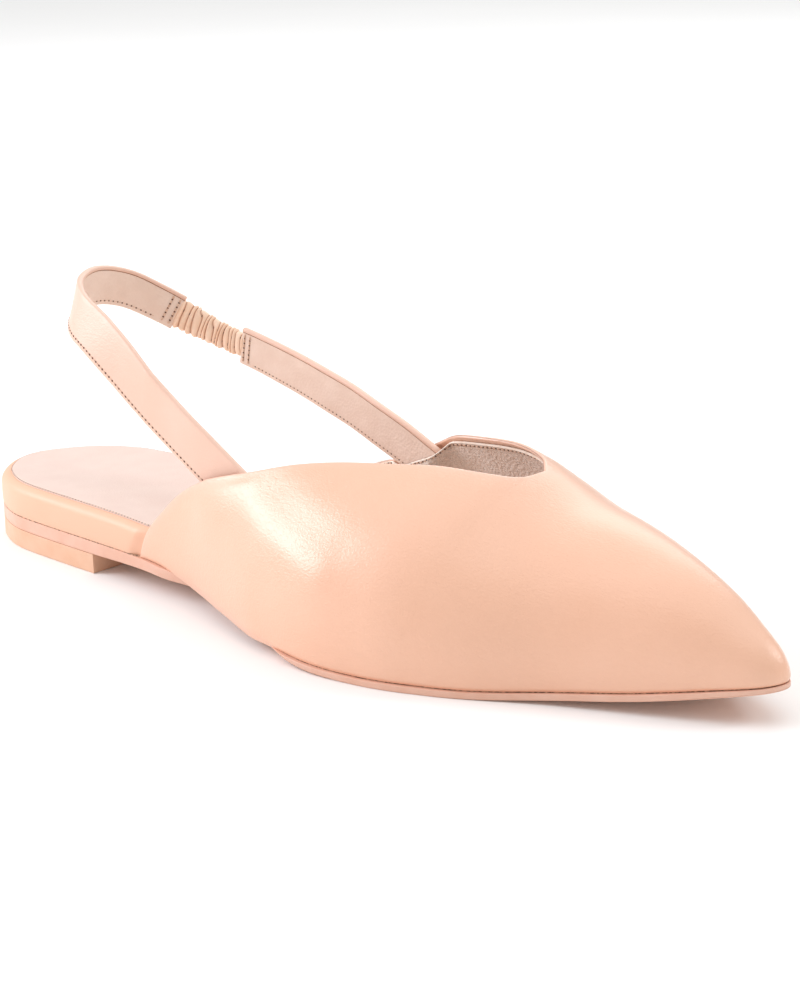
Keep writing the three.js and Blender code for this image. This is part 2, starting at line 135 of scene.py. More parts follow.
class SmoothLine:
    """Cubic through a table's rows that never overshoots them."""

    def __init__(self, rows: Rows, column: int, swing: Swing = Swing.PLAIN) -> None:
        """Works out the slopes: a weighted harmonic mean of the chords', nought at a turn.

        Args:
            rows: the table, with the share of the length in its first column.
            column: the column that holds the values.
            swing: how the shares are spread.
        """
        table = np.array([[row[0], row[column]] for row in rows], float)
        self.swing = swing
        self.x = swing.spread(table[:, 0])
        self.y = table[:, 1]
        self.width = np.diff(self.x)
        rise = np.diff(self.y) / self.width
        before = 2 * self.width[1:] + self.width[:-1]
        after = self.width[1:] + 2 * self.width[:-1]
        with np.errstate(divide="ignore", invalid="ignore"):
            mean = (before + after) / (before / rise[:-1] + after / rise[1:])
        bend = np.where(rise[:-1] * rise[1:] > 0, mean, 0.0)
        self.slope = np.concatenate([rise[:1], bend, rise[-1:]])

    def __call__(self, share: Array) -> Array:
        """Gives the line's value at each share of the length."""
        at = self.swing.spread(share)
        i = np.searchsorted(self.x[1:-1], at)
        t = (at - self.x[i]) / self.width[i]
        start = self.y[i] * (1 + 2 * t) * (1 - t) ** 2 + self.width[i] * self.slope[i] * t * (1 - t) ** 2
        end = self.y[i + 1] * t * t * (3 - 2 * t) + self.width[i] * self.slope[i + 1] * t * t * (t - 1)
        return start + end


OUTLINE = {
    Side.OUTER: SmoothLine(OUTLINE_ROWS, 1, Swing.HALF_CIRCLE),
    Side.INNER: SmoothLine(OUTLINE_ROWS, 2, Swing.HALF_CIRCLE),
}
CROWN_HEIGHT = SmoothLine(CROWN_ROWS, 1, Swing.HALF_CIRCLE)
CROWN_LEAN = SmoothLine(CROWN_ROWS, 2, Swing.HALF_CIRCLE)
HEEL_SHARE = SmoothLine(SOLE_ROWS, 1)
TRIM_SHARE = SmoothLine(SOLE_ROWS, 2)
BAND_SHARE = SmoothLine(SOLE_ROWS, 3)


@dataclass(frozen=True)
class SideCut:
    """How one side of the upper is drawn in at its shoulder and where its edges lie.

    rear_cut and top_cut hold share of the length and sweep, from sole (0) to crown (1).
    """

    fall: float
    rear_cut: Rows
    top_cut: Rows

    @property
    def corner(self) -> Sequence[float]:
        """Share of the length and sweep where the rear edge meets the top edge."""
        return self.top_cut[0]

    def rear_along(self) -> SmoothLine:
        """The rear edge as share of the length over sweep."""
        return SmoothLine([(sweep, along) for along, sweep in self.rear_cut], 1)

    def top_sweep(self) -> SmoothLine:
        """The top edge as sweep over share of the length."""
        return SmoothLine(self.top_cut, 1)


CUTS = {
    Side.OUTER: SideCut(
        -0.1,
        ((0.301, 0.0), (0.314, 0.08), (0.345, 0.19), (0.374, 0.285), (0.408, 0.371)),
        ((0.408, 0.371), (0.47, 0.487), (0.525, 0.605), (0.573, 0.685), (0.637, 0.757), (0.7, 0.842),
         (0.7168, 0.9), (0.7202, 0.945), (THROAT, 1.0)),
    ),
    Side.INNER: SideCut(
        0.28,
        ((0.301, 0.0), (0.316, 0.07), (0.355, 0.15), (0.405, 0.235), (0.457, 0.328)),
        ((0.457, 0.328), (0.507, 0.436), (0.542, 0.545), (0.575, 0.65), (0.62, 0.715), (0.67, 0.79),
         (0.702, 0.88), (THROAT, 1.0)),
    ),
}


def smooth_step(value: Array, low: float, high: float) -> Array:
    """Rises from 0 at low to 1 at high with level ends."""
    t = np.clip((np.asarray(value, float) - low) / (high - low), 0, 1)
    return t * t * (3 - 2 * t)


def unit(vectors: Array) -> Array:
    """Gives the vectors the length 1."""
    return vectors / np.maximum(np.linalg.norm(vectors, axis=-1, keepdims=True), 1e-12)


def round_shares(end: float, steps: int) -> Array:
    """Shares up to an end, spread as a half circle's heights so that they crowd at heel and toe."""
    reach = float(Swing.HALF_CIRCLE.spread(end))
    return (1 - np.cos(math.pi * reach * np.arange(steps + 1) / steps)) / 2


def rows_between(outer: Array, inner: Array, columns: int) -> Array:
    """Grid of points whose rows run straight from one line of points to another."""
    part = np.linspace(0, 1, columns + 1)[:, None]
    return outer[:, None] * (1 - part) + inner[:, None] * part


def face_across(loop: Array, half: int, columns: int) -> Array:
    """Grid between the two sides of a ring that starts at the heel, up to so many points from there."""
    outer = np.arange(half + 1)
    return rows_between(loop[outer], loop[-outer], columns)


def distance_to_line(points: Array, line: Array) -> Array:
    """Shortest distance from each point to a line of straight pieces.

    Args:
        points: any grid of points.
        line: the line's corners in order.

    Returns:
        A distance for each point, taken to the nearest place on each piece of the line.
    """
    start, run = line[:-1], np.diff(line, axis=0)
    square = np.maximum((run**2).sum(-1), 1e-12)
    flat = points.reshape(-1, 3)
    nearest = []
    for block in np.array_split(flat, max(1, len(flat) // BLOCK)):
        away = block[:, None] - start
        part = np.clip((away * run).sum(-1) / square, 0, 1)
        nearest.append(np.linalg.norm(away - part[..., None] * run, axis=-1).min(1))
    return np.concatenate(nearest).reshape(points.shape[:-1])


@dataclass(frozen=True)
class Last:
    """The form that the shoe is built on, as functions of the share of its length."""

    sole_width: float
    length: float
    centre: float
    instep_height: float = 51.5
    crown_offset: float = 6.0
    heel_block_height: float = 5.4
    toe_spring: float = 8.15
    sole_thickness: float = 2.0
    heel_sole_thickness: float = 3.7
    waist_trim: float = 4.0
    sole_edge: float = 0.6
    side_bulge: float = 2.4
    band_height: float = 8.4
    forefoot_bed_height: float = 3.2
    wall: float = 1.8
    clearance: float = 0.3
    edge_thinning: float = 0.35
    tip_thinning: float = 0.35

    @classmethod
    def from_frame(cls) -> "Last":
        """Takes length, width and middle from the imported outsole's box."""
        low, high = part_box("outsole")
        shares = np.linspace(0.3, 0.9, 601)
        outer = float(OUTLINE[Side.OUTER](shares).max())
        inner = float(OUTLINE[Side.INNER](shares).max())
        width = (high.x - low.x) / MM / (outer + inner)
        return cls(sole_width=width, length=(high.y - low.y) / MM, centre=high.x / MM - width * inner)

    def place(self, along: Array, outward: Array, up: Array) -> Array:
        """Turns shoe coordinates into points on the model's axes: the toe is at -Y, outside at -X."""
        parts = np.broadcast_arrays(self.centre - outward, self.length / 2 - along, up)
        return np.stack(parts, -1).astype(float)

    def underside(self, share: Array) -> Array:
        """Height of the sole's underside, level on the heel block and ball and sprung at the toe."""
        rows = [(along, rise * self.heel_block_height) for along, rise in REAR_UNDERSIDE_ROWS]
        rows += [(along, rise * self.toe_spring) for along, rise in FRONT_UNDERSIDE_ROWS]
        return SmoothLine(rows, 1)(share)

    def sole_top(self, share: Array) -> Array:
        """Height of the sole's upper face: the underside and a thickness that grows to the heel."""
        extra = (self.heel_sole_thickness - self.sole_thickness) * HEEL_SHARE(share)
        return self.underside(share) + self.sole_thickness + extra - self.thinning(share)

    def thinning(self, share: Array) -> Array:
        """What the skived edge of the sole loses under the forefoot and again at the tip."""
        tip = self.tip_thinning * smooth_step(share, 0.9, 1)
        return self.edge_thinning * smooth_step(share, 0.55, 0.66) + tip

    def waist(self, share: Array) -> Array:
        """1 along the waist, where the upper comes down past a sole that is set in, and 0 elsewhere."""
        return smooth_step(share, 0.33, 0.4) * (1 - smooth_step(share, 0.5, 0.57))

    def bed_height(self, share: Array) -> Array:
        """Height of the footbed over its foot, from the band at the heel to the thin forefoot."""
        return self.forefoot_bed_height + (self.band_height - self.forefoot_bed_height) * BAND_SHARE(share)

    def upper_point(self, side: Side, share: Array, sweep: Array) -> Array:
        """Point of the upper's outer face.

        A section is a quarter ellipse from the sole to the crown: outward falls as the cosine and up
        rises as the sine of sweep times 90 degrees, with a swell in the middle and a leaning crown.

        Args:
            side: the side of the shoe.
            share: share of the length.
            sweep: 0 at the sole to 1 at the crown.

        Returns:
            The points.
        """
        angle = sweep * math.pi / 2
        sine = np.sin(angle)
        half = self.sole_width * OUTLINE[side](share) - self.sole_edge * np.minimum(1, (1 - share) * 20)
        spread = half * np.cos(angle) * (1 - CUTS[side].fall * sine**2)
        bulge = self.side_bulge * np.minimum(1, half / 30) * np.sin(2 * angle)
        lean = -self.crown_offset * CROWN_LEAN(share) * sine**2
        rise = self.instep_height * CROWN_HEIGHT(share) + self.thinning(share)
        up = self.sole_top(share) + self.clearance + rise * sine
        return self.place(share * self.length, side.value * (spread + bulge) + lean, up)

    def upper_grid(self, side: Side, advance: Array, part: Array, shift: float = 0.0) -> Array:
        """Grid over one side of the upper.

        Args:
            side: the side of the shoe.
            advance: 0 at the rear edge, 1 at the throat, 2 at the toe tip, one value a row.
            part: share of the way from the sole to the edge or crown, a row or a whole grid.
            shift: how far the throat is moved to the toe, in millimetres.

        Returns:
            A grid of points, a row for each advance.
        """
        u = advance[:, None]
        part = np.broadcast_to(part, (len(advance), part.shape[-1]))
        cut = CUTS[side]
        start = cut.rear_along()(part * cut.corner[1])
        throat = THROAT + shift / self.length
        rear = start + u * (throat - start)
        share = np.where(u <= 1, rear, throat + (u - 1) * (1 - throat))
        return self.upper_point(side, share, part * self.edge_sweep(side, u))

    def edge_sweep(self, side: Side, advance: Array) -> Array:
        """Sweep where a side's section ends: the top edge up to the throat, then the crown."""
        corner = CUTS[side].corner[0]
        edge = CUTS[side].top_sweep()(corner + np.minimum(advance, 1) * (THROAT - corner))
        return np.where(advance < 1, edge, 1.0)

    def outline_side(self, side: Side, shares: Array) -> Array:
        """One side of the sole's outline as rows of along and outward."""
        return np.stack([shares * self.length, side.value * self.sole_width * OUTLINE[side](shares)], -1)

    def outline(self, shares: Array) -> Array:
        """Closed outline of the sole, from the heel round the outer side to the toe and back."""
        outer, inner = (self.outline_side(side, shares) for side in Side)
        return np.concatenate([outer, inner[-2:0:-1]])

    def ring(self, outline: Array, inset: ShareLine, up: ShareLine) -> Array:
        """A ring of points at a distance in from an outline, square to it, at a height."""
        run = np.roll(outline, -1, 0) - np.roll(outline, 1, 0)
        run = run / np.linalg.norm(run, axis=-1, keepdims=True)
        share = np.clip(outline[:, 0] / self.length, 0, 1)
        depth = inset(share)
        along = outline[:, 0] + run[:, 1] * depth
        outward = outline[:, 1] - run[:, 0] * depth
        return self.place(along, outward, up(np.clip(along / self.length, 0, 1)))

    def stack(self, outline: Array, rings: Sequence[Ring]) -> Array:
        """Rings round one outline, from pairs of inset and height."""
        return np.stack([self.ring(outline, inset, up) for inset, up in rings])


def add_node(tree: bpy.types.NodeTree, kind: str, inputs: dict | None = None,
             **settings: object) -> bpy.types.Node:
    """Adds a node with its settings, its values and its links.

    Args:
        tree: the material's node tree.
        kind: the node's type.
        inputs: a value or another node's output for each named or numbered input.
        settings: the node's own properties.

    Returns:
        The node.
    """
    node = tree.nodes.new(kind)
    for name, value in settings.items():
        setattr(node, name, value)
    for name, value in (inputs or {}).items():
        if isinstance(value, bpy.types.NodeSocket):
            tree.links.new(value, node.inputs[name])
        else:
            node.inputs[name].default_value = value
    return node


def linear(hex_colour: str) -> tuple[float, float, float, float]:
    """Turns an sRGB hex colour into linear light, by the sRGB curve."""
    parts = [int(hex_colour[i:i + 2], 16) / 255 for i in (0, 2, 4)]
    light = [part / 12.92 if part <= 0.04045 else ((part + 0.055) / 1.055) ** 2.4 for part in parts]
    return (*light, 1.0)


@dataclass(frozen=True)
class Pattern:
    """A bump over the surface: its size and depth in millimetres and how it is stretched."""

    size: float
    depth: float
    cells: bool = False
    stretch: tuple[float, float, float] = (1.0, 1.0, 1.0)
    turn: tuple[float, float, float] = (0.0, 0.0, 0.0)
    waviness: float = 0.0

    def height(self, tree: bpy.types.NodeTree, place: bpy.types.NodeSocket) -> bpy.types.NodeSocket:
        """Adds the nodes for the pattern's height, from 0 to 1, and gives their output."""
        turned = add_node(tree, "ShaderNodeMapping", {
            "Vector": place, "Rotation": self.turn, "Scale": self.stretch}).outputs[0]
        scale = 1 / (self.size * MM)
        if self.cells:
            cell = add_node(tree, "ShaderNodeTexVoronoi", {"Vector": turned, "Scale": scale},
                            feature="SMOOTH_F1")
            cell.inputs["Smoothness"].default_value = 0.35
            return cell.outputs["Distance"]
        noise = add_node(tree, "ShaderNodeTexNoise", {
            "Vector": turned, "Scale": scale, "Detail": 2.5, "Roughness": 0.55,
            "Distortion": self.waviness})
        return noise.outputs[0]


@dataclass(frozen=True)
class Finish:
    """A surface finish. mark_colour is mixed in where the mesh's own mark attribute says so."""

    name: str
    colour: str
    cloudy_colour: str
    cloud_size: float
    roughness: float
    roughness_swing: float = 0.05
    ior: float = 1.5
    coat: float = 0.0
    coat_roughness: float = 0.2
    sheen: float = 0.0
    mark_colour: str = ""
    patterns: tuple[Pattern, ...] = ()

    def make(self) -> bpy.types.Material:
        """Builds the material: a cloudy base colour, an uneven roughness and its bumps in turn."""
        material = bpy.data.materials.new(self.name)
        material.use_nodes = True
        tree = material.node_tree
        shader = next(node for node in tree.nodes if node.type == "BSDF_PRINCIPLED")
        place = add_node(tree, "ShaderNodeTexCoord").outputs["Object"]
        cloud = add_node(tree, "ShaderNodeTexNoise", {
            "Vector": place, "Scale": 1 / (self.cloud_size * MM), "Detail": 3.0}).outputs[0]
        amount = add_node(tree, "ShaderNodeMapRange", {"Value": cloud, 1: 0.35, 2: 0.65}).outputs[0]
        colour = add_node(tree, "ShaderNodeMix", {
            0: amount, 6: linear(self.colour), 7: linear(self.cloudy_colour)},
            data_type="RGBA").outputs[2]
        if self.mark_colour:
            mark = add_node(tree, "ShaderNodeAttribute", attribute_name="mark").outputs["Fac"]
            colour = add_node(tree, "ShaderNodeMix", {
                0: mark, 6: colour, 7: linear(self.mark_colour)}, data_type="RGBA").outputs[2]
        tree.links.new(colour, shader.inputs["Base Color"])
        low, high = self.roughness - self.roughness_swing, self.roughness + self.roughness_swing
        rough = add_node(tree, "ShaderNodeMapRange", {"Value": cloud, 1: 0.3, 2: 0.7, 3: low, 4: high})
        tree.links.new(rough.outputs[0], shader.inputs["Roughness"])
        shader.inputs["IOR"].default_value = self.ior
        shader.inputs["Coat Weight"].default_value = self.coat
        shader.inputs["Coat Roughness"].default_value = self.coat_roughness
        shader.inputs["Sheen Weight"].default_value = self.sheen
        before = {}
        for pattern in self.patterns:
            bump = add_node(tree, "ShaderNodeBump", {
                "Height": pattern.height(tree, place), "Distance": pattern.depth * MM, "Strength": 1.0,
                **before})
            before = {"Normal": bump.outputs[0]}
        for name in ("Normal", "Coat Normal"):
            tree.links.new(before["Normal"], shader.inputs[name])
        return material


# Aniline-dyed kid leather, rolled and lightly plated: even peach, soft gloss, and fine wavy creases that
# are drawn a little coarser than real so that they show
NAPPA = Finish(
    "plated_nappa_leather", "EFBA9B", "F2BEA0", 26, 0.44, 0.03, coat=0.9, coat_roughness=0.3,
    # mark_colour is a paler peach, painted along the upper's folded edges as their highlight
    mark_colour="EEC1A8",
    patterns=(
        Pattern(0.55, 0.03, cells=True),
        Pattern(0.8, 0.08, stretch=(1.0, 0.5, 1.3), turn=(0.6, 0.0, 0.0), waviness=0.9),
    ),
)
# The same leather pared for the straps: paler where it is stretched round the fold
STRAP_NAPPA = replace(
    NAPPA, name="pared_nappa_leather", colour="EBC1AA", cloudy_colour="EEC6B1", coat=0.35)
# The same leather pulled tight over the insole board: its grain is flattened and it shines less
WRAP_NAPPA = replace(
    NAPPA, name="stretched_nappa_leather", roughness=0.5, coat=0.12,
    patterns=(Pattern(0.62, 0.03, cells=True),))
# Champagne pigskin lining with close pebbled pores: its matt taupe is painted almost white, as painted light
# on the shaded inside of the throat
COLLAR_LINING_PAINTED_LIGHT = Finish(
    "pigskin_lining_painted_light", "FFF2E7", "FAE9DB", 4, 0.48, 0.04, sheen=0.2,
    patterns=(Pattern(0.75, 0.3, cells=True), Pattern(1.7, 0.06)),
)
# The same lining pared thin for the straps, without the painted light that lightens the collar's copy
STRAP_LINING = Finish(
    "pared_lining_leather", "F0D6C5", "EBCFBD", 6, 0.54, 0.05, sheen=0.1,
    patterns=(Pattern(0.7, 0.1, cells=True), Pattern(1.9, 0.05)),
)
# Split edge of the lining, left raw: fibrous cream
RAW_EDGE = Finish("raw_split_edge", "FBF1E6", "F1E0CE", 2.5, 0.85, patterns=(Pattern(0.35, 0.05),))
# Vegetable board sole with a brushed paint edge: pinkish tan, low sheen, faint strokes along it
PAINTED_EDGE = Finish(
    "painted_board_edge", "E8BBA5", "E4B39B", 6, 0.5, 0.06, coat=0.08, coat_roughness=0.35,
    patterns=(Pattern(0.8, 0.03, stretch=(1.0, 0.25, 2.0)), Pattern(0.3, 0.012)),
)
# Top piece of moulded thermoplastic rubber: warm tan, matt, finely sanded at its edge
HEEL_LIFT = Finish(
    "sanded_rubber_lift", "E9BFA2", "E4B696", 7, 0.55, 0.05,
    patterns=(Pattern(0.5, 0.03, stretch=(1.0, 1.0, 3.0)),),
)
# Contact cement squeezed into a joint: dark brown, broken by smears of peach
CEMENT = Finish("cement_line", "4A2F22", "DDB396", 1.0, 0.7, patterns=(Pattern(0.5, 0.08),))
# Groove between a strap's turned edge and its lining: painted brown as the shade in the groove
GROOVE_SHADE = Finish("groove_painted_shade", "A9795D", "C39376", 2.0, 0.8, patterns=(Pattern(0.3, 0.03),))
# Goat sock lining, buffed: pale beige with a powdery nap
SOCK = Finish(
    "buffed_sock_leather", "E3CCC0", "E0C8BC", 9, 0.6, 0.05, sheen=0.12,
    patterns=(Pattern(0.5, 0.05, cells=True), Pattern(1.2, 0.04)),
)
# Nappa gathered over elastic: the same peach, stretched dull over the folds, with painted shade in dark
# brown (mark_colour) down the valleys between the pleats
GATHERED = Finish(
    "gathered_nappa", "FDD8BB", "FEDFC6", 3, 0.5, 0.06, mark_colour="B0704C",
    patterns=(Pattern(0.5, 0.07, cells=True),),
)
# Spun polyester thread: beige, a little fuzzy
THREAD = Finish("spun_thread", "E6C4AC", "D9B297", 1.2, 0.75, sheen=0.2, patterns=(Pattern(0.15, 0.03),))
# Holes punched by the needle: dark brown specks painted as the shade inside each hole, drawn larger than
# real so that they show
HOLE_SHADE = Finish("needle_hole", "5E3E2D", "8A6450", 1.5, 0.8, patterns=(Pattern(0.2, 0.02),))


# Matt background paper: even, very slightly rough
SEAMLESS_PAPER = Finish("seamless_paper", "FAFAF9", "F8F8F7", 300, 0.9, patterns=(Pattern(1.5, 0.01),))


class Skin:
    """Grids of points gathered as one mesh, with a finish for each face and a mark for each point."""

    def __init__(self) -> None:
        """Starts with nothing in it."""
        self.points: list[Array] = []
        self.quads: list[Array] = []
        self.slots: list[Array] = []
        self.marks: list[Array] = []
        self.rims: list[tuple[list[int], int]] = []
        self.count = 0

    def grid(self, points: Array, slot: int | Array = 0, mark: float | Array = 0.0,
             ring_rows: bool = False, ring_columns: bool = False) -> Array:
        """Adds one grid of points, or many of the same size.

        Args:
            points: rows by columns by 3, with any number of grids in front.
            slot: number of the finish, or one for each column of faces.
            mark: value of the mark attribute at each point.
            ring_rows: whether the last row joins the first.
            ring_columns: whether the last column joins the first.

        Returns:
            The numbers of the first grid's points in the mesh.
        """
        rows, columns = points.shape[-3:-1]
        index = np.arange(points.size // 3).reshape(-1, rows, columns) + self.count
        first = index[0]
        if ring_rows:
            index = np.concatenate([index, index[:, :1]], 1)
        if ring_columns:
            index = np.concatenate([index, index[:, :, :1]], 2)
        quads = np.stack([index[:, :-1, :-1], index[:, 1:, :-1], index[:, 1:, 1:], index[:, :-1, 1:]], -1)
        self.points.append(points.reshape(-1, 3))
        self.quads.append(quads.reshape(-1, 4))
        self.slots.append(np.broadcast_to(slot, quads.shape[:-1]).ravel())
        self.marks.append(np.broadcast_to(mark, points.shape[:-1]).ravel())
        self.count += points.size // 3
        return first

    def cap(self, index: Array, slot: int = 0) -> None:
        """Closes a ring of points with one face."""
        self.rims.append((index.tolist(), slot))

    def build(self, name: str, finishes: Sequence[bpy.types.Material]) -> bpy.types.Object:
        """Makes the object: joins equal points, turns faces outwards and shades them smooth.

        Args:
            name: name of the piece.
            finishes: materials in the order of the slot numbers.

        Returns:
            The object, at the origin.
        """
        mesh = bpy.data.meshes.new(name)
        faces = np.concatenate(self.quads).tolist() + [rim for rim, _ in self.rims]
        slots = np.concatenate([*self.slots, np.array([slot for _, slot in self.rims], int)])
        mesh.from_pydata((np.concatenate(self.points) * MM).tolist(), [], faces)
        mesh.polygons.foreach_set("material_index", slots.astype(np.int32))
        marks = mesh.attributes.new("mark", "FLOAT", "POINT")
        marks.data.foreach_set("value", np.concatenate(self.marks).astype(np.float32))
        work = bmesh.new()
        work.from_mesh(mesh)
        bmesh.ops.remove_doubles(work, verts=work.verts, dist=JOIN_DISTANCE)
        bmesh.ops.recalc_face_normals(work, faces=work.faces)
        work.to_mesh(mesh)
        work.free()
        mesh.shade_smooth()
        mesh.set_sharp_from_angle(angle=math.radians(SHARP_ANGLE))
        for finish in finishes:
            mesh.materials.append(finish)
        piece = bpy.data.objects.new(name, mesh)
        bpy.context.scene.collection.objects.link(piece)
        return piece


def beads(places: Array, runs: Array, faces: Array, length: Array | float, width: float,
          height: float) -> Array:
    """Small blunt rods, one at each place: elliptic rings that shrink towards both ends.

    A ring's size is the root of 1 less the fourth power of its station, from -1 to 1 along the rod.

    Args:
        places: the middles.
        runs: direction of each rod.
        faces: direction that points off the surface.
        length: length of each rod, or of all.
        width: across the surface.
        height: off the surface.

    Returns:
        A grid of 5 rings of 6 points for each rod.
    """
    station = np.array([-1.0, -0.72, 0.0, 0.72, 1.0])
    size = np.sqrt(np.maximum(1 - station**4, 0))
    turn = np.arange(6) * math.pi / 3
    across = unit(np.cross(runs, faces))
    off = unit(np.cross(across, runs))
    half = np.broadcast_to(np.asarray(length, float) / 2, places.shape[:1])
    ring = size[:, None, None] * (
        np.cos(turn)[None, :, None] * across[:, None, None] * width / 2
        + np.sin(turn)[None, :, None] * off[:, None, None] * height / 2)
    rod = station[:, None, None] * unit(runs)[:, None, None] * half[:, None, None, None]
    return places[:, None, None] + rod + ring


def along_path(path: Array, pitch: float, values: Sequence[Array] = ()) -> list[Array]:
    """Places at an even pitch along a path, with its direction and any values there.

    Args:
        path: the path's points.
        pitch: distance between places.
        values: further arrays with a row for each of the path's points.

    Returns:
        The places, the directions, and the values at the places.
    """
    gone = np.concatenate([[0], np.cumsum(np.linalg.norm(np.diff(path, axis=0), axis=-1))])
    at = np.arange(pitch / 2, gone[-1], pitch)
    runs = unit(np.gradient(path, axis=0))

    def pick(data: Array) -> Array:
        """Straight between the path's points."""
        return np.stack([np.interp(at, gone, data[:, k]) for k in range(data.shape[1])], -1)

    return [pick(path), unit(pick(runs)), *[pick(value) for value in values]]


@dataclass(frozen=True)
class Seam:
    """A row of stitches: its pitch, and length, width and height of a stitch and of a needle hole.

    hole_swing is how much longer a hole may be, by a draw of its own for each. A hole takes its
    direction from the stitch before it where hole_as_before is True, or else from the one after it.
    """

    pitch: float
    stitch: tuple[float, float, float]
    hole: tuple[float, float, float]
    hole_swing: float = 0.0
    hole_as_before: bool = False

    def rows(self, path: Array, off: Array) -> Stitches:
        """Makes the stitches at an even pitch along a path and the needle holes between them.

        Args:
            path: the seam's points.
            off: direction off the surface at each of them.

        Returns:
            The stitches' rods and the holes' rods.
        """
        places, runs, away = along_path(path, self.pitch, [off])
        between = (places[1:] + places[:-1]) / 2
        draws = np.random.default_rng(SEED + 2).random(len(between))
        like = slice(None, -1) if self.hole_as_before else slice(1, None)
        length = self.hole[0] + self.hole_swing * draws
        holes = beads(between, runs[like], away[like], length, *self.hole[1:])
        return beads(places, runs, away, *self.stitch), holes


def face_normals(grids: Sequence[Array]) -> list[Array]:
    """Outward direction at each point of grids that share points along their seams.

    Each face's cross product is added at its corners, equal points share their sum, and each grid
    is turned so that it looks up on the whole.

    Args:
        grids: grids of points.

    Returns:
        A grid of directions for each.
    """
    flat = np.concatenate([grid.reshape(-1, 3) for grid in grids])
    _, same = np.unique(np.round(flat, 4), axis=0, return_inverse=True)
    same = same.ravel()
    total = np.zeros((same.max() + 1, 3))
    count = 0
    for grid in grids:
        index = same[count:count + grid[..., 0].size].reshape(grid.shape[:2])
        count += index.size
        diagonals = grid[1:, 1:] - grid[:-1, :-1], grid[1:, :-1] - grid[:-1, 1:]
        cross = np.cross(*diagonals)
        cross = cross * np.sign(cross[..., 2].sum())
        for corner in (index[:-1, :-1], index[1:, :-1], index[1:, 1:], index[:-1, 1:]):
            np.add.at(total, corner.ravel(), cross.reshape(-1, 3))
    normals = unit(total)[same]
    sizes = np.cumsum([grid[..., 0].size for grid in grids])[:-1]
    return [part.reshape(grid.shape) for part, grid in zip(np.split(normals, sizes), grids)]


def register(piece: bpy.types.Object, replaced: Sequence[str] = ()) -> None:
    """Lets a piece ride on the one body and the nodes it stands for, and reports it."""
    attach(piece, "root")
    if replaced:
        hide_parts(*replaced)
    LOG.info("%s: %d faces", piece.name, len(piece.data.polygons))


def register_stitches(name: str, rows: Sequence[Stitches]) -> None:
    """Makes one piece of thread and one of needle holes from a part's seams.

    Args:
        name: what both names begin with.
        rows: stitches and holes of each seam.
    """
    # The needle holes get the dark brown of painted shade
    for column, ending, finish in ((0, "stitches", THREAD_MATERIAL), (1, "needle_holes", HOLE_SHADE_MATERIAL)):
        skin = Skin()
        for row in rows:
            skin.grid(row[column])
        register(skin.build(f"{name}_{ending}", [finish]))


@dataclass(frozen=True)
class Crease:
    """A soft ridge (height above nought) or trough along a line of shares and sweeps on one side."""

    side: Side
    height: float
    reach: float
    line: Rows

    def lift(self, last: Last, points: Array) -> Array:
        """Height at each point: falls off as a bell curve over the distance to the line."""
        rows = np.array(self.line)
        steps = np.linspace(0, len(rows) - 1, 24)
        share = np.interp(steps, np.arange(len(rows)), rows[:, 0])
        sweep = np.interp(steps, np.arange(len(rows)), rows[:, 1])
        away = distance_to_line(points, last.upper_point(self.side, share, sweep))
        return self.height * np.exp(-((away / self.reach) ** 2))


